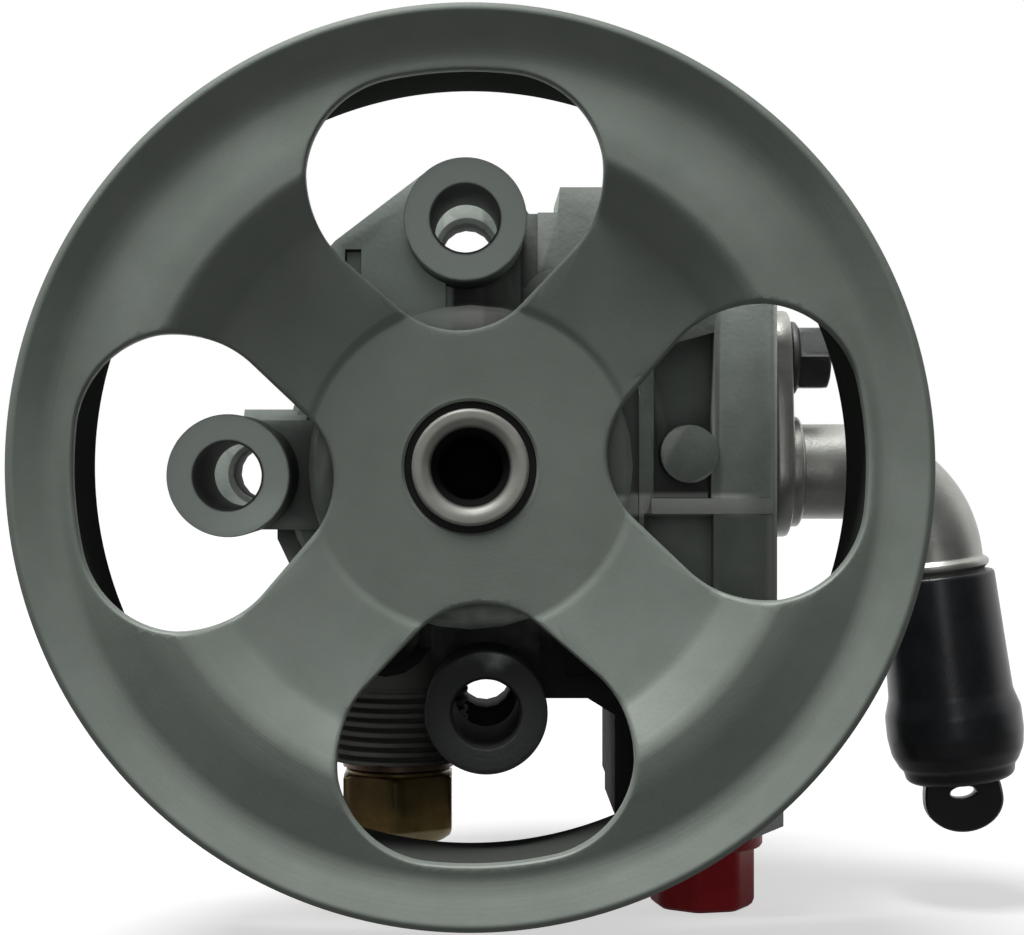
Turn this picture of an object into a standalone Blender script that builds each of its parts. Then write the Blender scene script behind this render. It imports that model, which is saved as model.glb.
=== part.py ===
"""Power steering pump: spun pulley, die-cast vane pump, suction elbow, caps.

Lengths are in millimetres and are turned into metres when a mesh is made.
+Z is up, the shaft lies along Y and the pulley faces -Y.
The origin is on the shaft axis, in the plane of the front lug faces.
"""
import math

import bmesh
import bpy
from mathutils import Vector
from mathutils.geometry import tessellate_polygon

for item in list(bpy.data.objects):
    bpy.data.objects.remove(item, do_unlink=True)

MM = 0.001

# Clearances
SEAT = 0.3
SLIP = 0.25
BREAK = 0.8

# Pulley, its radii chained inwards from the rim and its depths from the crest
RIM_R = 67.5
LIP_Y = -16.0
SHEET = 2.6
LIP_STAND = 5.2
RIB_HEIGHT = 2.2
RIM_WALL = 1.2
RIB_PITCH = 3.56
RIB_COUNT = 6
VALLEY_OUT = 1.7
FLANGE_RUN = 11.7
CREST_RUN = 1.6
WALL_RUN = 5.5
FOOT_RUN = 1.4
CREST_DEPTH = 1.2
VALLEY_DROP = 1.4
CREST_DROP = 0.8
WALL_DROP = 4.5
FOOT_DROP = 0.4
CONE_DROP = 4.4
DISC_R = 24.6
HUB_GAP = 1.5
WINDOW_TURN = 3.0
WINDOW_COUNT = 4
WINDOW_MARGIN = 0.7
WINDOW_BITE = 3.9
WINDOW_APEX_R = 13.3
WINDOW_CORNER_X = 6.8
WINDOW_CORNER_R = 15.0
PULLEY_STEPS = 48

rib_r = RIM_R - LIP_STAND
groove_r = rib_r - RIB_HEIGHT
rim_inner_r = groove_r - RIM_WALL
valley_r = rim_inner_r + VALLEY_OUT
crest_r = valley_r - FLANGE_RUN
wall_head_r = crest_r - CREST_RUN
wall_foot_r = wall_head_r - WALL_RUN
cone_r = wall_foot_r - FOOT_RUN
window_r = rim_inner_r - WINDOW_MARGIN
window_apex_at = DISC_R - WINDOW_BITE + WINDOW_APEX_R
valley_depth = CREST_DEPTH + VALLEY_DROP
wall_head_depth = CREST_DEPTH + CREST_DROP
wall_foot_depth = wall_head_depth + WALL_DROP
cone_depth = wall_foot_depth + FOOT_DROP
disc_depth = cone_depth + CONE_DROP
web_back = LIP_Y + disc_depth + SHEET

# Shaft, bearing and seal
SHAFT_R = 8.5
SHAFT_STAND = 0.8
SHAFT_STEP = 1.0
CENTRE_R = 4.9
CENTRE_CHAMFER = 1.7
HUB_WALL = 3.85
BEARING_R = 20.0
BEARING_WIDTH = 12.0
BEARING_Y = 5.0
BALL_FILL = 0.293
BALL_COUNT = 8
CIRCLIP_THICK = 1.2
CIRCLIP_BITE = 0.8
SEAL_R = 15.0
SEAL_WIDTH = 6.8
BUSH_WALL = 1.75
BUSH_LENGTH = 4.6

shaft_front = LIP_Y + disc_depth - SHAFT_STAND
hub_hole_r = SHAFT_R + HUB_GAP
rotor_seat_r = SHAFT_R - SHAFT_STEP
ball_pitch_r = (SHAFT_R + BEARING_R) / 2
ball_r = BALL_FILL * (BEARING_R - SHAFT_R)
race_half_gap = 0.64 * ball_r
shaft_back = BEARING_Y + BEARING_WIDTH
clip_y = BEARING_Y - SEAT - CIRCLIP_THICK
seal_front = shaft_back + SEAT + 0.4
seal_rear = seal_front + SEAL_WIDTH
seal_floor = seal_rear + SEAT
cavity_y = seal_floor + BUSH_LENGTH + 2 * SEAT

# Pumping group, its radii chained outwards from the rotor's bore
FRONT_PLATE = 3.7
CAM_WIDTH = 16.0
REAR_PLATE = 4.0
ROTOR_CORE = 3.1
VANE_COUNT = 10
VANE_THICK = 1.6
VANE_HEIGHT = 6.9
VANE_TRAVEL = 1.2
TIP_GAP = 0.7
CAM_LIFT = 2.0
CAM_WALL = 3.5
DOWEL_R = 1.5
DOWEL_INSET = 2.7
PORT_INSET = 1.8
PORT_SPAN = 3.5

slot_root = rotor_seat_r + SLIP + ROTOR_CORE
vane_root = slot_root + SLIP + VANE_TRAVEL
tip_r = vane_root + VANE_HEIGHT
cam_minor_r = tip_r + SEAT
rotor_r = cam_minor_r - TIP_GAP
plate_r = cam_minor_r + CAM_LIFT + CAM_WALL
cavity_r = plate_r + SEAT
dowel_at = plate_r - DOWEL_INSET
plate_front = cavity_y + SEAT
cam_front = plate_front + FRONT_PLATE + SEAT
cam_rear = cam_front + CAM_WIDTH
rear_plate_front = cam_rear + SEAT
spigot_front = rear_plate_front + REAR_PLATE + SEAT
rotor_front = cam_front + SLIP
rotor_rear = cam_rear - SLIP
clip_front = rotor_rear + SEAT
shaft_end = spigot_front + 1.1

# Housing
NOSE_WALL = 5.0
NOSE_FRONT = 2.0
BODY_WALL = 5.2
BODY_FRONT = 19.0
SPIGOT = 4.5
LUG_R = 9.3
LUG_HOLE_R = 5.25
FRONT_LUG_REAR = 25.4
REAR_LUG_LENGTH = 12.9
REAR_LUG_R = 8.6
REAR_LUG_HOLE_R = 4.6
ARM_FRONT = 17.5
ARM_INSET = 0.4
ARM_SHOULDER = 1.3
LUGS = {"top": (-0.8, 38.0), "left": (-37.1, -1.3), "bottom": (2.4, -37.6)}
BOLT_INSET = 0.7
BOLT_FIRST = 62.0
BOLT_SPREAD = 78.0
BOLT_BOSS_R = 8.0
BOLT_PAD_R = 5.8
BOLT_PAD_STAND = 1.3
M6_R = 2.9

nose_r = BEARING_R + NOSE_WALL
body_r = cavity_r + BODY_WALL
body_rear = spigot_front + SPIGOT
rear_lug_front = body_rear - REAR_LUG_LENGTH
bolt_circle_r = body_r - BOLT_INSET
port_turns = [BOLT_FIRST + 90 * k for k in range(4)]
bolt_turns = [BOLT_FIRST + side + turn for side in (0, 180) for turn in (0.0, BOLT_SPREAD)]
cover_front = body_rear + SEAT

# Valve block, its bore and ports
VALVE_Y = 34.0
VALVE_R = 7.5
VALVE_WALL = 6.1
VALVE_TOP = 11.0
PORT_R = 9.2
PORT_DEPTH = 11.4
PORT_WALL = 1.5
BLOCK_LEFT = 10.8
BLOCK_TOP = 45.3
BLOCK_BOTTOM = -57.4
FRONT_COVER = 14.5
REAR_COVER = 12.5
REAR_INSET = 5.4
STEP_DOWN = 4.1
STEP_IN = 3.3
SLOPE = 14.5
FOOT_HALF = 15.6
FOOT_TOP = -37.5
RECESS_DEPTH = 4.9
RECESS_LEFT = 9.3
RECESS_RIGHT = 0.0
LEDGE_Z = -5.1
LEDGE_THICK = 2.5
BARREL_BULGE = 1.5
DISC_BOSS_R = 4.7
INLET_Z = -0.85
FLANGE_BOLT_Z = 18.3
GOLD_X = -12.3
GOLD_FACE = -49.1
GOLD_BOSS_R = 11.6
GOLD_RIBS = 8
GOLD_RIB_PITCH = 1.6
GOLD_RIB_RISE = 0.7
GALLERY_R = 7.1

valve_x = cavity_r + VALVE_WALL + VALVE_R
block_right = valve_x + PORT_R + PORT_WALL
block_front = VALVE_Y - FRONT_COVER
block_step = VALVE_Y + REAR_COVER
block_rear = body_rear - REAR_INSET

# Inlet elbow and rubber cap
PIPE_R = 8.0
PIPE_WALL = 1.4
FLANGE_THICK = 3.3
ELBOW_RUN = 9.1
BEND_R = 16.0
BEND_TURN = 83.2
LEG_LENGTH = 26.0
BEAD_RISE = 0.9
BEAD_END = 2.9
CAP_WALL = 1.2
CAP_BULGE = 3.0
CAP_LENGTH = 37.5
CAP_FLOOR = 1.0

inlet_r = PIPE_R - PIPE_WALL
flange_front = block_right + SEAT
flange_rear = flange_front + FLANGE_THICK
bend_x = flange_rear + ELBOW_RUN
cap_start = BEAD_END + SEAT

# Outlet union, red plug and yellow plug
UNION_HEAD = 3.1
UNION_FLATS = 24.0
UNION_BORE = 6.2
PLUG_R = 8.8
PLUG_LENGTH = 12.8
PLUG_FLANGE_R = 10.2
GOLD_FLATS = 18.0
GOLD_HEAD = 12.0
GOLD_THREAD = 10.5


def to_world(u, v, along, axis):
    """Puts a point of a section (u, v) and its place along the axis into x, y, z."""
    if axis == "X":
        return (along, u, v)
    if axis == "Y":
        return (u, along, v)
    return (u, v, along)


def circle(radius, steps, centre=(0.0, 0.0), phase=0.0):
    """Points of a full circle."""
    turn = [phase + 2 * math.pi * k / steps for k in range(steps)]
    return [(centre[0] + radius * math.cos(a), centre[1] + radius * math.sin(a)) for a in turn]


def turned(profile, axis, centre=(0.0, 0.0), steps=24, phase=0.0):
    """Closed profile of (radius, along) pairs turned about an axis."""
    points = []
    rings = []
    for radius, along in profile:
        if radius < 1e-6:
            rings.append([len(points)] * steps)
            points.append(to_world(centre[0], centre[1], along, axis))
            continue
        rings.append(list(range(len(points), len(points) + steps)))
        for u, v in circle(radius, steps, centre, phase=phase):
            points.append(to_world(u, v, along, axis))
    faces = []
    ends = profile[1:] + profile[:1]
    for near, far, start, stop in zip(rings, rings[1:] + rings[:1], profile, ends):
        if abs(start[1] - stop[1]) < 1e-6 and min(start[0], stop[0]) < 1e-6:
            faces.append(far if start[0] < 1e-6 else near)
            continue
        for k in range(steps):
            n = (k + 1) % steps
            corner = list(dict.fromkeys([near[k], near[n], far[n], far[k]]))
            if len(corner) > 2:
                faces.append(corner)
    return points, faces


def prism(outline, low, high, axis, holes=()):
    """Outline with holes drawn out from low to high along an axis."""
    loops = [list(outline)] + [list(hole) for hole in holes]
    flat = [pair for loop in loops for pair in loop]
    caps = tessellate_polygon([[Vector((u, v, 0.0)) for u, v in loop] for loop in loops])
    count = len(flat)
    points = [to_world(u, v, low, axis) for u, v in flat]
    points += [to_world(u, v, high, axis) for u, v in flat]
    faces = [list(cap) for cap in caps]
    faces += [[k + count for k in cap] for cap in caps]
    first = 0
    for loop in loops:
        size = len(loop)
        for k in range(size):
            a = first + k
            b = first + (k + 1) % size
            faces.append([a, b, b + count, a + count])
        first += size
    return points, faces


def block(low, high):
    """Box between two corners."""
    outline = [(low[0], low[2]), (high[0], low[2]), (high[0], high[2]), (low[0], high[2])]
    return prism(outline, low[1], high[1], "Y")


def rod(centre, radius, low, high, axis, steps=24, phase=0.0):
    """Plain cylinder."""
    return turned([(0, low), (radius, low), (radius, high), (0, high)], axis, centre, steps, phase)


def hexagon(centre, flats, low, high, axis, phase=0.0):
    """Hexagonal prism, given across its flats."""
    reach = flats / math.sqrt(3)
    return rod(centre, reach, low, high, axis, 6, phase)


def joined(*groups):
    """Several separate meshes as one."""
    points = []
    faces = []
    for more_points, more_faces in groups:
        shift = len(points)
        points += list(more_points)
        faces += [[k + shift for k in face] for face in more_faces]
    return points, faces


def swept(path, radii, steps):
    """Solid rod along a path in the XZ plane, with a radius at each point."""
    points = []
    faces = []
    for k, (x, y, z) in enumerate(path):
        before = path[max(k - 1, 0)]
        after = path[min(k + 1, len(path) - 1)]
        way = Vector((after[0] - before[0], 0.0, after[2] - before[2])).normalized()
        side = Vector((way.z, 0.0, -way.x))
        for j in range(steps):
            a = 2 * math.pi * j / steps
            off = radii[k] * (math.cos(a) * side + math.sin(a) * Vector((0.0, 1.0, 0.0)))
            points.append((x + off.x, y + off.y, z + off.z))
    for k in range(len(path) - 1):
        for j in range(steps):
            n = (j + 1) % steps
            low = k * steps
            faces.append([low + j, low + n, low + steps + n, low + steps + j])
    faces.append(list(range(steps)))
    faces.append(list(range(len(points) - steps, len(points))))
    return points, faces


def mesh_of(name, geometry, origin):
    """Mesh in metres about an origin, faces turned outwards."""
    points, faces = geometry
    shifted = [tuple((p[i] - origin[i]) * MM for i in range(3)) for p in points]
    mesh = bpy.data.meshes.new(name)
    mesh.from_pydata(shifted, [], faces)
    shape = bmesh.new()
    shape.from_mesh(mesh)
    loose = [v for v in shape.verts if not v.link_faces]
    bmesh.ops.delete(shape, geom=loose, context="VERTS")
    bmesh.ops.recalc_face_normals(shape, faces=shape.faces)
    shape.to_mesh(mesh)
    shape.free()
    return mesh


def paint(name, colour, metallic, roughness):
    """Plain Principled material."""
    look = bpy.data.materials.new(name)
    look.use_nodes = True
    shader = look.node_tree.nodes["Principled BSDF"]
    shader.inputs["Base Color"].default_value = (colour[0], colour[1], colour[2], 1.0)
    shader.inputs["Metallic"].default_value = metallic
    shader.inputs["Roughness"].default_value = roughness
    return look


STEEL = ((0.55, 0.56, 0.57), 1.0, 0.35)
ALLOY = ((0.42, 0.43, 0.43), 0.8, 0.55)
RUBBER = ((0.02, 0.02, 0.022), 0.0, 0.7)
IRON = ((0.28, 0.28, 0.28), 0.9, 0.5)


def solid(name, geometry, origin=(0.0, 0.0, 0.0), look=STEEL, carrier=None):
    """Named body of the part, with its own material."""
    body = bpy.data.objects.new(name, mesh_of(name, geometry, origin))
    bpy.context.scene.collection.objects.link(body)
    if carrier is None:
        body.location = tuple(c * MM for c in origin)
    else:
        body.parent = carrier
        body.location = Vector(tuple(c * MM for c in origin)) - carrier.location
    body.data.materials.append(paint(name, *look))
    body.data.shade_smooth()
    body.data.set_sharp_from_angle(angle=math.radians(35))
    return body


def tool(name, geometry):
    """Hidden body used by a Boolean."""
    body = bpy.data.objects.new(name, mesh_of(name, geometry, (0.0, 0.0, 0.0)))
    bpy.context.scene.collection.objects.link(body)
    body.hide_render = True
    body.display_type = "WIRE"
    return body


def combine(body, geometry, kind, label):
    """Adds or cuts a shape by a Boolean."""
    change = body.modifiers.new(label, "BOOLEAN")
    change.operation = kind
    change.solver = "EXACT"
    change.object = tool(body.name + "_" + label, geometry)


def ring(centre, radius, section, along, axis, steps=24):
    """Round-section ring."""
    profile = circle(section, 6, (radius, along))
    return turned(profile, axis, centre, steps)


def polar(radius, degrees):
    """Point at a radius and an angle."""
    return (radius * math.cos(math.radians(degrees)), radius * math.sin(math.radians(degrees)))


# Pulley
def pulley_profile():
    """Section of the wheel: dished face, lip, ribbed rim, underside."""
    front = [
        (hub_hole_r, disc_depth),
        (DISC_R, disc_depth),
        (DISC_R + 0.9, disc_depth - 0.5),
        (cone_r, cone_depth),
        (wall_foot_r, wall_foot_depth),
        (wall_head_r, wall_head_depth),
        (crest_r, CREST_DEPTH),
        (crest_r + 0.3 * FLANGE_RUN, CREST_DEPTH + 0.14 * VALLEY_DROP),
        (valley_r, valley_depth),
        (valley_r + 1.2, valley_depth - 0.1),
        (RIM_R - 0.8, 0.0),
        (RIM_R, 0.5),
        (RIM_R, 1.4),
        (RIM_R - 0.9, 2.0),
    ]
    ribs = []
    first = valley_depth + 0.9 + RIB_PITCH / 2
    for k in range(RIB_COUNT):
        centre = first + k * RIB_PITCH
        ribs.append((rib_r, centre - 0.36 * RIB_PITCH))
        ribs.append((groove_r, centre))
        ribs.append((rib_r, centre + 0.36 * RIB_PITCH))
    rear = first + (RIB_COUNT - 0.5) * RIB_PITCH + 0.4
    back = [
        (rib_r, rear),
        (rim_inner_r + 0.5, rear),
        (rim_inner_r, rear - 0.6),
        (rim_inner_r, valley_depth + SHEET + 0.4),
        (rim_inner_r - 0.7, valley_depth + SHEET - 0.3),
        (crest_r + 0.5, CREST_DEPTH + SHEET),
        (wall_head_r + 1.3, wall_head_depth + SHEET),
        (wall_foot_r + 1.0, wall_foot_depth + SHEET),
        (cone_r + 0.6, cone_depth + SHEET),
        (DISC_R + 1.3, disc_depth + SHEET - 0.6),
        (DISC_R + 0.2, disc_depth + SHEET),
        (hub_hole_r, disc_depth + SHEET),
    ]
    return [(radius, LIP_Y + depth) for radius, depth in front + ribs + back]


def window_outline(turn):
    """Rounded three-cornered window, wide side outwards."""
    corner_y = math.sqrt((window_r - WINDOW_CORNER_R) ** 2 - WINDOW_CORNER_X ** 2)
    reach = math.degrees(math.atan2(WINDOW_CORNER_X, corner_y))
    rounds = [
        ((0.0, window_apex_at), WINDOW_APEX_R),
        ((WINDOW_CORNER_X, corner_y), WINDOW_CORNER_R),
        ((-WINDOW_CORNER_X, corner_y), WINDOW_CORNER_R),
    ]
    turns = [90 + reach * f for f in (-1, -0.5, 0, 0.5, 1)]
    turns += [a for a in range(0, 360, 12) if abs(a - 90) > reach + 3]
    outline = []
    for a in sorted(turns):
        way = polar(1.0, a)
        if abs(a - 90) <= reach + 0.01:
            spot = polar(window_r, a)
        else:
            best = max(rounds, key=lambda c: c[0][0] * way[0] + c[0][1] * way[1] + c[1])
            spot = (best[0][0] + best[1] * way[0], best[0][1] + best[1] * way[1])
        c = math.cos(math.radians(turn - 90))
        s = math.sin(math.radians(turn - 90))
        outline.append((spot[0] * c - spot[1] * s, spot[0] * s + spot[1] * c))
    return outline


pulley = solid("pulley", turned(pulley_profile(), "Y", steps=PULLEY_STEPS), look=ALLOY)
windows = []
for k in range(WINDOW_COUNT):
    turn = 90 + WINDOW_TURN + k * 360 / WINDOW_COUNT
    windows.append(prism(window_outline(turn), LIP_Y - 2, web_back + 2, "Y"))
combine(pulley, joined(*windows), "DIFFERENCE", "windows")

# Hub sleeve behind the web
hub_front = web_back + SEAT
hub_flange_r = BEARING_R - 1.0
hub_sleeve_r = SHAFT_R + HUB_WALL
hub_profile = [
    (SHAFT_R + SLIP, hub_front),
    (hub_flange_r, hub_front),
    (hub_flange_r, hub_front + 2.2),
    (hub_sleeve_r, hub_front + 2.2),
    (hub_sleeve_r, BEARING_Y - SEAT),
    (SHAFT_R + SLIP, BEARING_Y - SEAT),
]
solid("pulley_hub", turned(hub_profile, "Y"), look=STEEL)

# Drive shaft with centre hole and clip groove
shaft_profile = [
    (0.0, shaft_back),
    (CENTRE_R, shaft_back - 2.6),
    (CENTRE_R, shaft_front + 2.2),
    (CENTRE_R + CENTRE_CHAMFER, shaft_front),
    (SHAFT_R - BREAK, shaft_front),
    (SHAFT_R, shaft_front + BREAK),
    (SHAFT_R, cavity_y + SHAFT_STEP),
    (rotor_seat_r, cavity_y + 2 * SHAFT_STEP),
    (rotor_seat_r, clip_front - 0.15),
    (rotor_seat_r - 1.1, clip_front - 0.15),
    (rotor_seat_r - 1.1, clip_front + CIRCLIP_THICK + 0.15),
    (rotor_seat_r, clip_front + CIRCLIP_THICK + 0.15),
    (rotor_seat_r, shaft_end - BREAK),
    (rotor_seat_r - BREAK, shaft_end),
    (0.0, shaft_end),
]
solid("drive_shaft", turned(shaft_profile, "Y"), look=STEEL)


# Ball bearing
def race_arc(outwards):
    """Ball groove of a race, drawn front to rear."""
    middle = BEARING_Y + BEARING_WIDTH / 2
    radius = ball_r + 0.2
    reach = math.degrees(math.acos(race_half_gap / radius))
    points = []
    for f in (-1, -0.5, 0, 0.5, 1):
        a = math.radians(f * reach)
        points.append((ball_pitch_r + outwards * radius * math.cos(a), middle + radius * math.sin(a)))
    return points


inner_race = [(SHAFT_R + SLIP, BEARING_Y), (ball_pitch_r - race_half_gap, BEARING_Y)]
inner_race += race_arc(-1)
inner_race += [(ball_pitch_r - race_half_gap, shaft_back), (SHAFT_R + SLIP, shaft_back)]
solid("bearing_inner_race", turned(inner_race, "Y"), look=STEEL)
outer_race = [(BEARING_R, BEARING_Y), (ball_pitch_r + race_half_gap, BEARING_Y)]
outer_race += race_arc(1)
outer_race += [(ball_pitch_r + race_half_gap, shaft_back), (BEARING_R, shaft_back)]
solid("bearing_outer_race", turned(outer_race, "Y", steps=32), look=STEEL)
middle = BEARING_Y + BEARING_WIDTH / 2
cage = [
    (ball_pitch_r - 0.6, middle - 3.9),
    (ball_pitch_r + 0.6, middle - 3.9),
    (ball_pitch_r + 0.6, middle + 3.9),
    (ball_pitch_r - 0.6, middle + 3.9),
]
cage_body = solid("bearing_balls", turned(cage, "Y"), look=STEEL)
balls = []
for k in range(BALL_COUNT):
    at = polar(ball_pitch_r, 360 * k / BALL_COUNT + 5)
    half = [(0.0, middle - ball_r)]
    half += [(ball_r * math.cos(a), middle + ball_r * math.sin(a)) for a in (-0.9, -0.3, 0.3, 0.9)]
    half += [(0.0, middle + ball_r)]
    balls.append(turned(half, "Y", at, 8))
combine(cage_body, joined(*balls), "UNION", "balls")


def clip_outline(inner, outer, opening, ear, inwards):
    """Open spring clip with two ears at the gap, which faces up."""
    start = 90 + opening
    turns = [start + (360 - 2 * opening) * k / 20 for k in range(21)]
    ear_turn = 16
    points = []
    for a in turns:
        near_end = min(a - turns[0], turns[-1] - a) < ear_turn
        points.append(polar(outer + (ear if near_end and not inwards else 0), a))
    for a in reversed(turns):
        near_end = min(a - turns[0], turns[-1] - a) < ear_turn
        points.append(polar(inner - (ear if near_end and inwards else 0), a))
    return points


clip_shape = clip_outline(BEARING_R - 2.0, BEARING_R + CIRCLIP_BITE, 14, 1.6, True)
clip = prism(clip_shape, clip_y, clip_y + CIRCLIP_THICK, "Y")
solid("bearing_circlip", clip, look=STEEL)

# Shaft seal and bush
seal_profile = [
    (SEAL_R, seal_front),
    (SEAL_R, seal_rear),
    (SEAL_R - 1.2, seal_rear),
    (SEAL_R - 1.2, seal_front + 1.5),
    (SHAFT_R + 2.0, seal_front + 1.5),
    (SHAFT_R + 1.6, seal_rear - 1.4),
    (SHAFT_R + SLIP, seal_rear - 2.4),
    (SHAFT_R + 0.9, seal_front),
]
solid("shaft_seal", turned(seal_profile, "Y"), look=RUBBER)
bush_profile = [
    (SHAFT_R + SLIP, seal_floor + SEAT),
    (SHAFT_R + SLIP + BUSH_WALL, seal_floor + SEAT),
    (SHAFT_R + SLIP + BUSH_WALL, cavity_y - SEAT),
    (SHAFT_R + SLIP, cavity_y - SEAT),
]
solid("shaft_bush", turned(bush_profile, "Y"), look=((0.5, 0.38, 0.2), 1.0, 0.4))

# Pumping group
dowel_turns = (BOLT_FIRST, BOLT_FIRST + 180)
dowel_holes = [circle(DOWEL_R + SLIP, 8, polar(dowel_at, a)) for a in dowel_turns]


def kidney(inner, outer, start, stop):
    """Port outline between two radii and two angles."""
    turns = [start + (stop - start) * k / 4 for k in range(5)]
    return [polar(outer, a) for a in turns] + [polar(inner, a) for a in reversed(turns)]


port_outer = rotor_r - PORT_INSET
port_inner = port_outer - PORT_SPAN
ports = [kidney(port_inner, port_outer, a + 20, a + 70) for a in port_turns]
plate_holes = [circle(SHAFT_R + 1.2, 20)] + dowel_holes
plate_rim = circle(plate_r, 36)
inner_holes = plate_holes + ports[0::2]
outer_holes = plate_holes + ports[1::2]
plate_rear = plate_front + FRONT_PLATE
rear_plate_rear = rear_plate_front + REAR_PLATE
solid("front_side_plate", prism(plate_rim, plate_front, plate_rear, "Y", inner_holes), look=STEEL)
solid("rear_side_plate", prism(plate_rim, rear_plate_front, rear_plate_rear, "Y", outer_holes), look=STEEL)
cam_bore = []
for k in range(40):
    a = 360 * k / 40
    lift = CAM_LIFT * (0.5 - 0.5 * math.cos(2 * math.radians(a - BOLT_FIRST)))
    cam_bore.append(polar(cam_minor_r + lift, a))
cam = prism(plate_rim, cam_front, cam_rear, "Y", [cam_bore] + dowel_holes)
solid("cam_ring", cam, look=STEEL)
slot_half = VANE_THICK / 2 + SLIP
rotor_outline = []
for k in range(VANE_COUNT):
    a = 360 * k / VANE_COUNT
    c = math.cos(math.radians(a))
    s = math.sin(math.radians(a))
    edge = math.sqrt(rotor_r ** 2 - slot_half ** 2)
    slot = ((edge, -slot_half), (slot_root, -slot_half), (slot_root, slot_half), (edge, slot_half))
    for along, across in slot:
        rotor_outline.append((along * c - across * s, along * s + across * c))
    rotor_outline.append(polar(rotor_r, a + 12))
    rotor_outline.append(polar(rotor_r, a + 24))
rotor_bore = circle(rotor_seat_r + SLIP, 20)
solid("rotor", prism(rotor_outline, rotor_front, rotor_rear, "Y", [rotor_bore]), look=IRON)
for k in range(VANE_COUNT):
    a = 360 * k / VANE_COUNT
    c = math.cos(math.radians(a))
    s = math.sin(math.radians(a))
    half = VANE_THICK / 2
    corners = ((vane_root, -half), (tip_r, -half), (tip_r, half), (vane_root, half))
    outline = [(u * c - v * s, u * s + v * c) for u, v in corners]
    solid("vane_" + str(k + 1), prism(outline, rotor_front, rotor_rear, "Y"), look=STEEL)
clip_shape = clip_outline(rotor_seat_r - CIRCLIP_BITE, rotor_seat_r + 0.9, 24, 0.6, False)
clip = prism(clip_shape, clip_front, clip_front + CIRCLIP_THICK, "Y")
solid("rotor_circlip", clip, look=STEEL)
for k, a in enumerate(dowel_turns):
    pin = rod(polar(dowel_at, a), DOWEL_R, plate_front + 0.3, spigot_front + 0.5, "Y", 8)
    solid("dowel_pin_" + str(k + 1), pin, look=STEEL)

# Front housing casting: nose, body and the stepped bore through them
clip_groove = [
    (BEARING_R + SLIP, clip_y - 0.2),
    (BEARING_R + CIRCLIP_BITE + 0.4, clip_y - 0.2),
    (BEARING_R + CIRCLIP_BITE + 0.4, clip_y + CIRCLIP_THICK + 0.2),
    (BEARING_R + SLIP, clip_y + CIRCLIP_THICK + 0.2),
]
bush_bore = SHAFT_R + 2 * SLIP + BUSH_WALL
housing_profile = [
    (0.0, body_rear),
    (body_r, body_rear),
    (body_r, BODY_FRONT + 1.0),
    (body_r - 1.0, BODY_FRONT),
    (nose_r, BODY_FRONT),
    (nose_r, NOSE_FRONT + 1.0),
    (nose_r - 1.0, NOSE_FRONT),
    (0.0, NOSE_FRONT),
]
bore_profile = [
    (0.0, NOSE_FRONT - 2.0),
    (BEARING_R + SLIP + 2.6, NOSE_FRONT - 2.0),
    (BEARING_R + SLIP, NOSE_FRONT + 0.6),
]
bore_profile += clip_groove
bore_profile += [
    (BEARING_R + SLIP, shaft_back + SEAT),
    (SEAL_R + SLIP, shaft_back + SEAT),
    (SEAL_R + SLIP, seal_floor),
    (bush_bore, seal_floor),
    (bush_bore, cavity_y),
    (cavity_r, cavity_y),
    (cavity_r, body_rear + 2.0),
    (0.0, body_rear + 2.0),
]
housing = solid("front_housing", turned(housing_profile, "Y", steps=32), look=ALLOY)

# Lugs with their arms, and the bosses of the cover bolts
front_bosses = []
rear_bosses = []
for at in LUGS.values():
    front_bosses.append(rod(at, LUG_R, 0.0, FRONT_LUG_REAR, "Y", 24))
    rear_bosses.append(rod(at, REAR_LUG_R, rear_lug_front, body_rear, "Y", 18))
combine(housing, joined(*front_bosses), "UNION", "front_lugs")
combine(housing, joined(*rear_bosses), "UNION", "rear_lugs")
top = LUGS["top"]
left = LUGS["left"]
low = LUGS["bottom"]


def arms(half, reach, front, rear):
    """Webs that carry the three lugs, from inside the body out to each lug."""
    return joined(
        block((top[0] - half, front, reach), (top[0] + half, rear, top[1])),
        block((left[0], front, left[1] - half), (-reach, rear, left[1] + half)),
        block((low[0] - half, front, low[1]), (low[0] + half, rear, -reach)),
    )


front_arms = arms(LUG_R - 0.5, nose_r - 2.0, ARM_FRONT, FRONT_LUG_REAR - ARM_INSET)
combine(housing, front_arms, "UNION", "front_arms")
rear_arms = arms(REAR_LUG_R - 0.6, body_r - 3.0, rear_lug_front + 0.6, body_rear - 0.6)
combine(housing, rear_arms, "UNION", "rear_arms")
shoulder_top = left[1] + LUG_R + ARM_SHOULDER
shoulder_rear = FRONT_LUG_REAR - 0.9
left_shoulder = [
    (ARM_FRONT + 0.4, left[1]),
    (ARM_FRONT + 0.4, shoulder_top - 2.0),
    (ARM_FRONT + 2.4, shoulder_top),
    (shoulder_rear, shoulder_top),
    (shoulder_rear, left[1]),
]
combine(housing, prism(left_shoulder, left[0] + 0.4, -body_r + 4.0, "X"), "UNION", "left_shoulder")
bolt_bosses = []
for a in bolt_turns:
    bolt_bosses.append(rod(polar(bolt_circle_r, a), BOLT_BOSS_R, 22.0, body_rear - 0.2, "Y", 16))
combine(housing, joined(*bolt_bosses), "UNION", "bolt_bosses")

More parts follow.
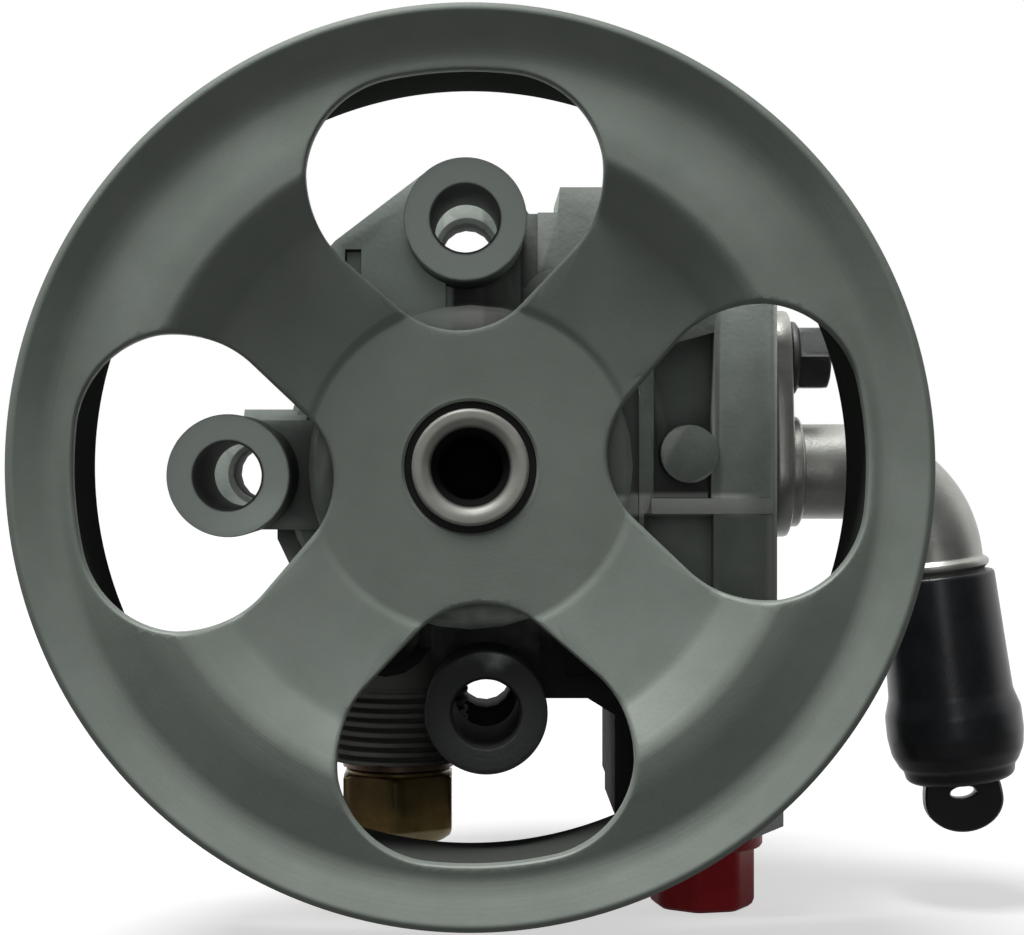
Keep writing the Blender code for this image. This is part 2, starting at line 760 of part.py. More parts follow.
# Gussets beside the top lug and the web under the left one
gusset_rear = FRONT_LUG_REAR - 0.8
left_gusset = [(-4.0, 46.0), (-6.9, 47.1), (-21.6, 35.9), (-28.5, 28.0), (-24.0, 18.0), (-4.0, 24.0)]
right_gusset = [(4.0, 45.0), (6.6, 45.4), (9.4, 41.2), (12.0, 41.2), (12.0, 24.0), (4.0, 24.0)]
gussets = joined(
    prism(left_gusset, 13.0, gusset_rear, "Y"),
    prism(right_gusset, block_front + 1.8, gusset_rear, "Y"),
)
combine(housing, gussets, "UNION", "gussets")
web = [(-32.0, -8.0), (-32.0, -11.9), (-30.0, -16.1), (-24.0, -26.0), (-18.0, -24.0), (-24.0, -8.0)]
combine(housing, prism(web, 26.0, block_rear, "Y"), "UNION", "side_web")

# Valve block: a stepped casting round the upright valve bore
block_outline = [
    (BLOCK_LEFT, 18.0),
    (BLOCK_LEFT, BLOCK_TOP - STEP_DOWN),
    (BLOCK_LEFT + STEP_IN, BLOCK_TOP - STEP_DOWN),
    (BLOCK_LEFT + STEP_IN + 0.3, BLOCK_TOP),
    (block_right - SLOPE, BLOCK_TOP),
    (block_right, BLOCK_TOP - SLOPE),
    (block_right, BLOCK_BOTTOM + 1.0),
    (block_right - 1.0, BLOCK_BOTTOM),
    (valve_x - FOOT_HALF + 1.0, BLOCK_BOTTOM),
    (valve_x - FOOT_HALF, BLOCK_BOTTOM + 1.0),
    (valve_x - FOOT_HALF, FOOT_TOP - 2.7),
    (valve_x - FOOT_HALF - 4.4, FOOT_TOP),
    (BLOCK_LEFT, FOOT_TOP),
    (BLOCK_LEFT, -27.0),
    (valve_x - 11.4, -15.0),
    (valve_x - 11.4, 12.0),
]
combine(housing, prism(block_outline, block_front, block_rear, "Y"), "UNION", "valve_block")
bolt_pads = []
for a in bolt_turns:
    pad_at = polar(bolt_circle_r, a)
    bolt_pads.append(rod(pad_at, BOLT_PAD_R, block_front - BOLT_PAD_STAND, block_front + 5.0, "Y", 20))
combine(housing, joined(*bolt_pads), "UNION", "bolt_pads")
barrel_left = valve_x - RECESS_RIGHT + 0.6
barrel_half = (block_right - barrel_left) / 2
barrel = [(block_right, VALVE_Y), (barrel_left, VALVE_Y)]
for k in range(9):
    f = k / 4 - 1
    bulge = BARREL_BULGE * (1 - f * f)
    barrel.append((barrel_left + barrel_half * (1 + f), block_front + 0.4 - bulge))
barrel_top = BLOCK_TOP - SLOPE - 0.6
combine(housing, prism(barrel, BLOCK_BOTTOM + 2.0, barrel_top, "Z"), "UNION", "valve_barrel")
rib_top = -27.0
rib_profile = [(0.0, GOLD_FACE), (GOLD_BOSS_R, GOLD_FACE)]
for k in range(GOLD_RIBS):
    step = GOLD_FACE + 0.4 + GOLD_RIB_PITCH * k
    rib_profile.append((GOLD_BOSS_R, step))
    rib_profile.append((GOLD_BOSS_R - GOLD_RIB_RISE, step + 0.3))
    rib_profile.append((GOLD_BOSS_R - GOLD_RIB_RISE, step + 0.9))
    rib_profile.append((GOLD_BOSS_R, step + 1.2))
rib_profile += [(GOLD_BOSS_R, rib_top + 0.5), (0.0, rib_top + 0.5)]
combine(housing, turned(rib_profile, "Z", (GOLD_X, VALVE_Y), 14), "UNION", "ribbed_boss")

# Recesses of the block's face, the step behind it, the round boss and the ledge
recess_left = valve_x - RECESS_LEFT
recess_right = valve_x - RECESS_RIGHT
upper_recess = [
    (recess_left, LEDGE_Z - 0.1),
    (recess_right, LEDGE_Z - 0.1),
    (recess_right + 0.5, 21.8),
    (recess_left + 3.2, 20.0),
    (recess_left, 17.0),
]
lower_recess = [
    (recess_left - 1.6, LEDGE_Z - LEDGE_THICK + 0.1),
    (recess_right + 0.4, LEDGE_Z - LEDGE_THICK + 0.1),
    (recess_right + 0.4, -36.0),
    (recess_left - 1.6, -36.0),
]
side_step = [
    (BLOCK_LEFT + 4.5, 18.0),
    (recess_left - 2.4, 18.0),
    (recess_left - 2.4, -34.0),
    (BLOCK_LEFT + 4.5, -34.0),
]
rear_step = [
    (BLOCK_LEFT - 1.0, 30.0),
    (BLOCK_LEFT - 1.0, BLOCK_TOP + 3.0),
    (block_right + 3.0, BLOCK_TOP + 3.0),
    (block_right + 3.0, BLOCK_BOTTOM - 3.0),
    (valve_x - 19.0, BLOCK_BOTTOM - 3.0),
    (valve_x - 6.0, -34.0),
    (valve_x - 6.0, 20.0),
]
notch = [(-20.0, 34.6), (-17.4, 34.6), (-17.4, 27.5), (-20.0, 27.5)]
pockets = joined(
    prism(rear_step, block_step, block_rear + 2, "Y"),
    prism(upper_recess, block_front - 3, block_front + RECESS_DEPTH, "Y"),
    prism(lower_recess, block_front - 3, block_front + RECESS_DEPTH - 1.3, "Y"),
    prism(side_step, block_front - 3, block_front + 1.2, "Y"),
    prism(notch, 10.0, 18.0, "Y"),
)
combine(housing, pockets, "DIFFERENCE", "pockets")
disc_at = (valve_x - 3.5, 2.1)
disc = rod(disc_at, DISC_BOSS_R, block_front - 0.6, block_front + RECESS_DEPTH + 0.6, "Y")
combine(housing, disc, "UNION", "disc_boss")
ledge = block(
    (recess_left - 0.5, block_front - BARREL_BULGE, LEDGE_Z - LEDGE_THICK),
    (block_right - 0.8, block_front + RECESS_DEPTH + 0.3, LEDGE_Z),
)
combine(housing, ledge, "UNION", "ledge")

# Holes of the housing
lug_holes = []
step_at = rear_lug_front - 10.5
for at in LUGS.values():
    front_hole = [
        (0.0, -1.0),
        (LUG_HOLE_R + 1.55, -1.0),
        (LUG_HOLE_R, 0.55),
        (LUG_HOLE_R, step_at),
        (REAR_LUG_HOLE_R, step_at + 0.6),
        (REAR_LUG_HOLE_R, body_rear + 2),
        (0.0, body_rear + 2),
    ]
    lug_holes.append(turned(front_hole, "Y", at, 16, math.radians(4)))
bolt_tip = body_rear - 14.4
bolt_holes = []
for a in bolt_turns:
    bolt_holes.append(rod(polar(bolt_circle_r, a), M6_R + SLIP, bolt_tip - 2.0, body_rear + 2, "Y", 12))
main_bore = turned(bore_profile, "Y", steps=32)
valve_bore = [
    (0.0, BLOCK_BOTTOM - 2),
    (PORT_R, BLOCK_BOTTOM - 2),
    (PORT_R, BLOCK_BOTTOM + PORT_DEPTH),
    (VALVE_R, BLOCK_BOTTOM + PORT_DEPTH + 0.8),
    (VALVE_R, VALVE_TOP),
    (0.0, VALVE_TOP + 2.0),
]
main_holes = joined(main_bore, turned(valve_bore, "Z", (valve_x, VALVE_Y), 18), *lug_holes, *bolt_holes)
combine(housing, main_holes, "DIFFERENCE", "main_holes")
groove_inner = inlet_r + 0.3
groove_outer = inlet_r + 2.2
groove_floor = block_right - 1.5
ring_section = [
    (groove_inner, groove_floor),
    (groove_inner, block_right + 2.4),
    (groove_outer, block_right + 2.4),
    (groove_outer, groove_floor),
]
flange_tip = block_right - 10.6
side_holes = joined(
    rod((VALVE_Y, INLET_Z), inlet_r - 0.6, valve_x + 3, block_right + 2, "X"),
    rod((VALVE_Y, FLANGE_BOLT_Z), M6_R + SLIP, flange_tip - 2.0, block_right + 2, "X", 12),
    turned(ring_section, "X", (VALVE_Y, INLET_Z), 18),
)
combine(housing, side_holes, "DIFFERENCE", "side_holes")
feeds = joined(
    rod((VALVE_Y + 6.0, 0.5), 2.5, cavity_r - 3, valve_x - 4, "X", 12),
    rod((VALVE_Y - 1.0, -14.0), 2.0, cavity_r - 6, valve_x - 4, "X", 12),
)
combine(housing, feeds, "DIFFERENCE", "feeds")
gallery = [
    (0.0, GOLD_FACE - 2),
    (GALLERY_R, GOLD_FACE - 2),
    (GALLERY_R, GOLD_FACE + GOLD_THREAD + 1.5),
    (2.5, GOLD_FACE + GOLD_THREAD + 3.5),
    (2.5, -20.0),
    (0.0, -20.0),
]
combine(housing, turned(gallery, "Z", (GOLD_X, VALVE_Y), 16), "DIFFERENCE", "gallery")

# Rear cover and its seals
COVER_THICK = 8.3
DOME_HEIGHT = 9.3
seal_mid = plate_r - 7.0
seal_half = 1.1
shaft_room = rotor_seat_r + 0.9
cover_rear = cover_front + COVER_THICK
dome_rear = cover_rear + DOME_HEIGHT
dome_r = body_r - 8.1
groove_front = spigot_front + 1.2
cover_profile = [
    (0.0, shaft_end + 2.0),
    (shaft_room, shaft_end + 1.0),
    (shaft_room, spigot_front),
    (seal_mid - seal_half, spigot_front),
    (seal_mid - seal_half, spigot_front + 1.5),
    (seal_mid + seal_half, spigot_front + 1.5),
    (seal_mid + seal_half, spigot_front),
    (plate_r, spigot_front),
    (plate_r, groove_front),
    (plate_r - 1.5, groove_front),
    (plate_r - 1.5, groove_front + 2.0),
    (plate_r, groove_front + 2.0),
    (plate_r, cover_front),
    (body_r, cover_front),
    (body_r, cover_rear - BREAK),
    (body_r - BREAK, cover_rear),
    (dome_r, cover_rear),
    (dome_r - 1.0, dome_rear - 3.1),
    (dome_r - 4.4, dome_rear),
    (0.0, dome_rear),
]
cover = solid("rear_cover", turned(cover_profile, "Y", steps=32), look=ALLOY)
bosses = []
through = []
for a in bolt_turns:
    at = polar(bolt_circle_r, a)
    bosses.append(rod(at, BOLT_BOSS_R, cover_front + 0.2, cover_rear - 0.2, "Y", 14))
    through.append(rod(at, M6_R + 0.4, cover_front - 1, cover_rear + 2, "Y", 12))
for a in dowel_turns:
    through.append(rod(polar(dowel_at, a), DOWEL_R + SLIP, spigot_front - 1, spigot_front + 0.85, "Y", 8))
combine(cover, joined(*bosses), "UNION", "bosses")
combine(cover, joined(*through), "DIFFERENCE", "holes")
solid("cover_o_ring", ring((0, 0), plate_r - 0.65, 0.7, groove_front + 1.0, "Y", 32), look=RUBBER)
solid("plate_o_ring", ring((0, 0), seal_mid, 0.6, spigot_front + 0.75, "Y"), look=RUBBER)


def flange_bolt(centre, seat, tip, axis, head=6.6, flats=10.0):
    """Hex flange bolt as one lathe-like stack, seat to tip against the axis sign."""
    way = 1.0 if seat > tip else -1.0
    washer = rod(centre, 6.2, seat, seat + way * 1.4, axis, 20)
    hexa = hexagon(centre, flats, seat + way * 0.6, seat + way * head, axis, math.pi / 6)
    shank = rod(centre, M6_R, tip, seat + way * 0.7, axis, 12)
    return washer, hexa, shank


def add_bolt(name, centre, seat, tip, axis):
    """Bolt object from washer, hexagon and shank."""
    washer, hexa, shank = flange_bolt(centre, seat, tip, axis)
    body = solid(name, washer, look=IRON)
    combine(body, hexa, "UNION", "head")
    combine(body, shank, "UNION", "shank")


for k, a in enumerate(bolt_turns):
    add_bolt("cover_bolt_" + str(k + 1), polar(bolt_circle_r, a), cover_rear + SEAT, bolt_tip, "Y")

# Inlet elbow, its ring and bolt
bend_z = INLET_Z - BEND_R
path = [(flange_front, VALVE_Y, INLET_Z), (flange_rear + 2.0, VALVE_Y, INLET_Z)]
arc_steps = 7
for k in range(arc_steps + 1):
    a = math.radians(90 - BEND_TURN * k / arc_steps)
    path.append((bend_x + BEND_R * math.cos(a), VALVE_Y, bend_z + BEND_R * math.sin(a)))
leg_angle = math.radians(90 - BEND_TURN)
leg_way = (math.sin(leg_angle), -math.cos(leg_angle))
leg_start = (path[-1][0], path[-1][2])


def on_leg(distance):
    """Point on the elbow's lower leg axis."""
    return (leg_start[0] + leg_way[0] * distance, VALVE_Y, leg_start[1] + leg_way[1] * distance)


bead = [(BEAD_END - 2.3, 0.0), (BEAD_END - 1.5, BEAD_RISE), (BEAD_END - 0.7, BEAD_RISE), (BEAD_END, 0.0)]
stations = [(d, PIPE_R + rise) for d, rise in bead + [(LEG_LENGTH, 0.0)]]
outer_path = path + [on_leg(d) for d, r in stations]
outer_radii = [PIPE_R] * len(path) + [r for d, r in stations]
pipe_outer = swept(outer_path, outer_radii, 18)
inner_path = [(flange_front - 2, VALVE_Y, INLET_Z)] + path[1:] + [on_leg(LEG_LENGTH + 2)]
pipe_inner = swept(inner_path, [inlet_r] * len(inner_path), 14)
FLANGE_EAR_R = 8.0
flange_r = PIPE_R + 3.0
flange_outline = []
for k in range(28):
    a = 2 * math.pi * k / 28
    c = math.cos(a)
    s = math.sin(a)
    low_reach = INLET_Z * s + flange_r
    high_reach = FLANGE_BOLT_Z * s + FLANGE_EAR_R
    if low_reach > high_reach:
        flange_outline.append((VALVE_Y + flange_r * c, INLET_Z + flange_r * s))
    else:
        flange_outline.append((VALVE_Y + FLANGE_EAR_R * c, FLANGE_BOLT_Z + FLANGE_EAR_R * s))
elbow = solid("inlet_elbow", prism(flange_outline, flange_front, flange_rear, "X"), look=STEEL)
collar = rod((VALVE_Y, INLET_Z), PIPE_R + 1.3, flange_rear - 1, flange_rear + 2.0, "X")
combine(elbow, collar, "UNION", "collar")
combine(elbow, pipe_outer, "UNION", "pipe")
combine(elbow, pipe_inner, "DIFFERENCE", "bore")
flange_hole = rod((VALVE_Y, FLANGE_BOLT_Z), M6_R + 0.4, flange_front - 1, flange_rear + 1, "X", 12)
combine(elbow, flange_hole, "DIFFERENCE", "bolt_hole")
groove_mid = (groove_inner + groove_outer) / 2
solid("inlet_o_ring", ring((VALVE_Y, INLET_Z), groove_mid, 0.65, groove_floor + 0.75, "X"), look=RUBBER)
add_bolt("inlet_bolt", (VALVE_Y, FLANGE_BOLT_Z), flange_rear + SEAT, flange_tip, "X")

# Rubber cap over the elbow leg, with its pull tab
bore_r = PIPE_R + SEAT
floor_at = LEG_LENGTH + CAP_FLOOR
skirt_r = bore_r + CAP_WALL
bulge_r = bore_r + CAP_BULGE
cap_end = cap_start + CAP_LENGTH
cap_profile = [
    (bore_r, cap_start),
    (skirt_r, cap_start),
    (skirt_r + 0.6, cap_end - 23.5),
    (skirt_r + 0.8, cap_end - 17.0),
    (bulge_r, cap_end - 14.0),
    (bulge_r, cap_end - 10.5),
    (bulge_r - 0.4, cap_end - 6.5),
    (bulge_r - 2.1, cap_end - 3.0),
    (bulge_r - 4.8, cap_end - 0.5),
    (0.0, cap_end),
    (0.0, floor_at),
    (bore_r, floor_at),
]
cap_points, cap_faces = turned(cap_profile, "Z", steps=20)


def tilt(points):
    """Turns cap points, whose z is the distance down the leg, onto the leg."""
    moved = []
    for x, y, z in points:
        base = on_leg(z)
        moved.append((base[0] - x * leg_way[1], VALVE_Y + y, base[2] + x * leg_way[0]))
    return moved


cap_origin = on_leg(cap_start)
cap = solid("inlet_cap", (tilt(cap_points), cap_faces), cap_origin, RUBBER)
TAB_HALF = 6.6
TAB_THICK = 3.0
tab_end = cap_end + 0.9
tab = [(TAB_HALF, cap_end - 4.5)]
for k in range(10):
    a = math.radians(20 * k)
    tab.append((TAB_HALF * math.cos(a), tab_end + 0.8 * TAB_HALF * math.sin(a)))
tab.append((-TAB_HALF, cap_end - 4.5))
tab_hole = [(2.2 * u, tab_end + v) for u, v in circle(1.0, 10)]
tab_points, tab_faces = prism(tab, -TAB_THICK / 2, TAB_THICK / 2, "Y", [tab_hole])
combine(cap, (tilt(tab_points), tab_faces), "UNION", "tab")

# Valve spool, spring, outlet union and red plug
SPOOL_TOP = -12.0
spool_low = BLOCK_BOTTOM + PORT_DEPTH + 3.6
spool_r = VALVE_R - SLIP
waist_r = spool_r - 2.0
spool_profile = [
    (0.0, spool_low),
    (3.0, spool_low),
    (spool_r, spool_low + 0.8),
    (spool_r, spool_low + 9.0),
    (waist_r, spool_low + 9.6),
    (waist_r, spool_low + 15.0),
    (spool_r, spool_low + 15.6),
    (spool_r, SPOOL_TOP),
    (4.4, SPOOL_TOP),
    (4.4, SPOOL_TOP - 6.0),
    (0.0, SPOOL_TOP - 6.0),
]
axis_spot = (valve_x, VALVE_Y)
solid("valve_spool", turned(spool_profile, "Z", axis_spot), (valve_x, VALVE_Y, spool_low), STEEL)
spring_low = SPOOL_TOP + SEAT
spring_top = VALVE_TOP - SEAT
wire_r = 0.75
coil_r = VALVE_R - 2 * wire_r - 0.1
turns = 5.5
coil_steps = 50
spring_points = []
spring_faces = []
for k in range(coil_steps + 1):
    f = k / coil_steps
    a = 2 * math.pi * turns * f
    z = spring_low + wire_r + (spring_top - spring_low - 2 * wire_r) * f
    for j in range(5):
        b = 2 * math.pi * j / 5
        r = coil_r + wire_r * math.cos(b)
        at = polar(r, math.degrees(a))
        spring_points.append((valve_x + at[0], VALVE_Y + at[1], z + wire_r * math.sin(b)))
for k in range(coil_steps):
    for j in range(5):
        n = (j + 1) % 5
        spring_faces.append([k * 5 + j, k * 5 + n, k * 5 + 5 + n, k * 5 + 5 + j])
spring_faces.append([0, 1, 2, 3, 4])
spring_faces.append([coil_steps * 5 + j for j in range(5)])
solid("valve_spring", (spring_points, spring_faces), (valve_x, VALVE_Y, spring_top), STEEL)
union_face = BLOCK_BOTTOM - SEAT
union_low = union_face - UNION_HEAD
thread_r = PORT_R - SLIP
nose_bore = UNION_BORE - 2.2
port_floor = BLOCK_BOTTOM + PORT_DEPTH
union_profile = [
    (nose_bore, spool_low - SEAT),
    (VALVE_R - 0.7, spool_low - SEAT),
    (VALVE_R - 0.7, port_floor - 0.4),
    (thread_r, port_floor - 0.6),
    (thread_r, port_floor - 2.4),
    (thread_r - 1.4, port_floor - 2.4),
    (thread_r - 1.4, port_floor - 4.2),
    (thread_r, port_floor - 4.2),
    (thread_r, union_face - 0.5),
    (UNION_BORE, union_face - 0.5),
    (UNION_BORE, BLOCK_BOTTOM + 6.0),
    (nose_bore, BLOCK_BOTTOM + 7.5),
]
union = solid("outlet_union", turned(union_profile, "Z", axis_spot), look=STEEL)
corners = circle(UNION_FLATS / math.sqrt(3), 6, axis_spot)
head = prism(corners, union_low, union_face, "Z", [circle(UNION_BORE, 24, axis_spot)])
combine(union, head, "UNION", "head")
solid("union_o_ring", ring(axis_spot, thread_r - 0.62, 0.6, port_floor - 3.3, "Z"), look=RUBBER)
plug_top = union_low - SEAT
plug_low = plug_top - PLUG_LENGTH
stem_r = UNION_BORE - 0.4
plug_profile = [
    (0.0, BLOCK_BOTTOM + 5.0),
    (stem_r - 0.6, BLOCK_BOTTOM + 5.0),
    (stem_r, BLOCK_BOTTOM + 3.6),
    (stem_r, plug_top),
    (PLUG_FLANGE_R, plug_top),
    (PLUG_FLANGE_R, plug_top - 2.5),
    (0.0, plug_top - 2.5),
]
red = ((0.25, 0.008, 0.012), 0.0, 0.45)
plug = solid("outlet_plug", turned(plug_profile, "Z", axis_spot), (valve_x, VALVE_Y, plug_top), red)
body_profile = [
    (0.0, plug_top - 1.5),
    (PLUG_R, plug_top - 1.5),
    (PLUG_R, plug_low + BREAK),
    (PLUG_R - BREAK, plug_low),
    (0.0, plug_low),
]
combine(plug, turned(body_profile, "Z", axis_spot, 12, math.radians(20)), "UNION", "body")

# Yellow plug of the gallery with its washer
gold_spot = (GOLD_X, VALVE_Y)
washer_low = GOLD_FACE - SEAT - 0.9
washer_r = GOLD_FLATS / 2 + 0.4
washer_profile = [
    (GALLERY_R, washer_low),
    (washer_r, washer_low),
    (washer_r, GOLD_FACE - SEAT),
    (GALLERY_R, GOLD_FACE - SEAT),
]
solid("gallery_washer", turned(washer_profile, "Z", gold_spot), look=((0.6, 0.35, 0.2), 1.0, 0.4))
gold_top = washer_low - SEAT
gold_low = gold_top - GOLD_HEAD
gold = ((0.45, 0.33, 0.1), 1.0, 0.35)
gold_hex = hexagon(gold_spot, GOLD_FLATS, gold_low, gold_top, "Z", math.pi / 6)
gold_body = solid("gallery_plug", gold_hex, look=gold)
chamfer_r = GOLD_FLATS / 2 + 3.0
chamfer = [(GOLD_FLATS / 2 - 2.0, gold_low - 1.0), (chamfer_r, gold_low + 3.0), (chamfer_r, gold_low - 1.0)]
combine(gold_body, turned(chamfer, "Z", gold_spot), "DIFFERENCE", "chamfer")
gold_thread = rod(gold_spot, GALLERY_R - SEAT, gold_top - 1, GOLD_FACE + GOLD_THREAD, "Z", 20)
combine(gold_body, gold_thread, "UNION", "thread")
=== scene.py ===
"""Looks of the power steering pump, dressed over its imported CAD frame."""
import math

import bmesh
import bpy
import numpy as np
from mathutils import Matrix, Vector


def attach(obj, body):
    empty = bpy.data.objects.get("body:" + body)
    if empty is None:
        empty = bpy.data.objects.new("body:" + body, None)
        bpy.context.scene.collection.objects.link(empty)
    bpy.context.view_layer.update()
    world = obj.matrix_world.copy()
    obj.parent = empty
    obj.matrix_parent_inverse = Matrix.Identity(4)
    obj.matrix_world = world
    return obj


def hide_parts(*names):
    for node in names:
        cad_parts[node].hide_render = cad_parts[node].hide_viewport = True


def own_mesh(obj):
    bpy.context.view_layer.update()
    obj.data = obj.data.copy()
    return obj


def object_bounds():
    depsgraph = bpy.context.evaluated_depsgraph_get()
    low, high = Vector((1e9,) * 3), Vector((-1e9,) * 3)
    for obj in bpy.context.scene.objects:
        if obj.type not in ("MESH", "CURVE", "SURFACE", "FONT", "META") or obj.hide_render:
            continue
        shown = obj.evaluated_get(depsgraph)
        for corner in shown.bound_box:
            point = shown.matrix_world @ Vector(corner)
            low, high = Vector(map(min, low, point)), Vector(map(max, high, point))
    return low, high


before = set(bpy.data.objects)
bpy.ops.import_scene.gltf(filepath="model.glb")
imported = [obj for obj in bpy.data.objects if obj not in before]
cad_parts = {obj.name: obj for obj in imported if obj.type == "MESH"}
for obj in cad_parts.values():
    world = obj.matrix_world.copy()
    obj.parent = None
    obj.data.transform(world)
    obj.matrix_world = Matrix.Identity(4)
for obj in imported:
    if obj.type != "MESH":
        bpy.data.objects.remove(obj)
cad_low, cad_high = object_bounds()

# Camera: straight at the pulley along +Y, a little left of the picture's middle.
# Its place and focal length follow from how far the rim hides the lugs behind it.
camera_data = bpy.data.cameras.new("camera")
camera = bpy.data.objects.new("camera", camera_data)
bpy.context.scene.collection.objects.link(camera)
camera.location = (0.0013, -0.316, 0.0011)
camera.rotation_euler = (math.radians(90), 0.0, 0.0)
camera_data.sensor_width = 36.0
camera_data.lens = 72.81
camera_data.shift_x = 0.0322
camera_data.shift_y = -0.0073
camera_data.clip_start = 0.01
bpy.context.scene.camera = camera
bpy.context.scene.view_settings.view_transform = "Standard"


# Studio: a broad lamp overhead and slightly in front, and a weak upright strip before the object.
# The world fills weakly. It is white to the camera, and in reflections dim on the camera's side.
def area_lamp(name, width, depth, energy, spot, tilt):
    """Rectangular lamp with sides and spot in metres, tilted about X and Y by degrees."""
    data = bpy.data.lights.new(name, "AREA")
    data.shape = "RECTANGLE"
    data.size = width
    data.size_y = depth
    data.energy = energy
    lamp = bpy.data.objects.new(name, data)
    lamp.location = spot
    lamp.rotation_euler = (math.radians(tilt[0]), math.radians(tilt[1]), 0.0)
    bpy.context.scene.collection.objects.link(lamp)


area_lamp("key_lamp", 0.32, 0.22, 5.1, (-0.12, -0.150, 0.56), (-15.0, -11.9))
area_lamp("front_strip", 0.10, 0.35, 0.25, (0.0, -0.55, 0.04), (86.0, 0.0))

world = bpy.data.worlds.new("studio_world")
bpy.context.scene.world = world
world.use_nodes = True
tree = world.node_tree
tree.nodes.clear()
path = tree.nodes.new("ShaderNodeLightPath")
where = tree.nodes.new("ShaderNodeTexCoord")
split = tree.nodes.new("ShaderNodeSeparateXYZ")
tree.links.new(where.outputs["Generated"], split.inputs[0])
behind = tree.nodes.new("ShaderNodeMapRange")
behind.interpolation_type = "SMOOTHSTEP"
behind.inputs["From Min"].default_value = -0.5
behind.inputs["From Max"].default_value = 0.2
behind.inputs["To Min"].default_value = 0.05
behind.inputs["To Max"].default_value = 1.0
tree.links.new(split.outputs["Y"], behind.inputs["Value"])
seen = tree.nodes.new("ShaderNodeMath")
seen.operation = "MAXIMUM"
tree.links.new(path.outputs["Is Glossy Ray"], seen.inputs[0])
tree.links.new(path.outputs["Is Transmission Ray"], seen.inputs[1])
dome = tree.nodes.new("ShaderNodeMapRange")
dome.inputs["From Min"].default_value = -0.15
dome.inputs["To Min"].default_value = 0.012
dome.inputs["To Max"].default_value = 0.165
tree.links.new(split.outputs["Z"], dome.inputs["Value"])
mirrored = tree.nodes.new("ShaderNodeMix")
tree.links.new(seen.outputs[0], mirrored.inputs["Factor"])
tree.links.new(dome.outputs[0], mirrored.inputs["A"])
tree.links.new(behind.outputs[0], mirrored.inputs["B"])
level = tree.nodes.new("ShaderNodeMix")
level.inputs["B"].default_value = 1.0
tree.links.new(path.outputs["Is Camera Ray"], level.inputs["Factor"])
tree.links.new(mirrored.outputs[0], level.inputs["A"])
back = tree.nodes.new("ShaderNodeBackground")
back.inputs["Color"].default_value = (1.0, 1.0, 1.0, 1.0)
tree.links.new(level.outputs[0], back.inputs["Strength"])
sky = tree.nodes.new("ShaderNodeOutputWorld")
tree.links.new(back.outputs[0], sky.inputs["Surface"])

# Floor: a plain pale sheet just under the lowest cap, which keeps the object's shadow.
# It looks white to the camera, and in reflections behind the object; it sends little light up.
floor_mesh = bpy.data.meshes.new("floor")
reach = 3.0
level_z = cad_low.z - 0.0004
corners = ((-reach, -reach), (reach, -reach), (reach, reach), (-reach, reach))
floor_mesh.from_pydata([(x, y, level_z) for x, y in corners], [], [(0, 1, 2, 3)])
floor = bpy.data.objects.new("floor", floor_mesh)
bpy.context.scene.collection.objects.link(floor)
floor_look = bpy.data.materials.new("floor_sheet")
floor_look.use_nodes = True
tree = floor_look.node_tree
tree.nodes.clear()
path = tree.nodes.new("ShaderNodeLightPath")
where = tree.nodes.new("ShaderNodeTexCoord")
split = tree.nodes.new("ShaderNodeSeparateXYZ")
tree.links.new(where.outputs["Object"], split.inputs[0])
beyond = tree.nodes.new("ShaderNodeMapRange")
beyond.interpolation_type = "SMOOTHSTEP"
beyond.inputs["From Min"].default_value = -0.05
beyond.inputs["From Max"].default_value = 0.20
tree.links.new(split.outputs["Y"], beyond.inputs["Value"])
seen = tree.nodes.new("ShaderNodeMath")
seen.operation = "MAXIMUM"
tree.links.new(path.outputs["Is Glossy Ray"], seen.inputs[0])
tree.links.new(path.outputs["Is Transmission Ray"], seen.inputs[1])
behind = tree.nodes.new("ShaderNodeMath")
behind.operation = "MULTIPLY"
tree.links.new(seen.outputs[0], behind.inputs[0])
tree.links.new(beyond.outputs[0], behind.inputs[1])
also = tree.nodes.new("ShaderNodeMath")
also.operation = "MAXIMUM"
tree.links.new(behind.outputs[0], also.inputs[0])
tree.links.new(path.outputs["Is Camera Ray"], also.inputs[1])
pale = tree.nodes.new("ShaderNodeBsdfDiffuse")
pale.inputs["Color"].default_value = (0.6, 0.6, 0.6, 1.0)
white = tree.nodes.new("ShaderNodeEmission")
glow = tree.nodes.new("ShaderNodeMapRange")
glow.inputs["From Min"].default_value = 0.10
glow.inputs["From Max"].default_value = 0.60
glow.inputs["To Min"].default_value = 0.6
glow.inputs["To Max"].default_value = 1.0
tree.links.new(split.outputs["Y"], glow.inputs["Value"])
tree.links.new(glow.outputs[0], white.inputs["Strength"])
both = tree.nodes.new("ShaderNodeAddShader")
tree.links.new(pale.outputs[0], both.inputs[0])
tree.links.new(white.outputs[0], both.inputs[1])
dimmed = tree.nodes.new("ShaderNodeBsdfDiffuse")
dimmed.inputs["Color"].default_value = (0.10, 0.10, 0.10, 1.0)
choice = tree.nodes.new("ShaderNodeMixShader")
tree.links.new(also.outputs[0], choice.inputs[0])
tree.links.new(dimmed.outputs[0], choice.inputs[1])
tree.links.new(both.outputs[0], choice.inputs[2])
sheet = tree.nodes.new("ShaderNodeOutputMaterial")
tree.links.new(choice.outputs[0], sheet.inputs["Surface"])
floor_mesh.materials.append(floor_look)


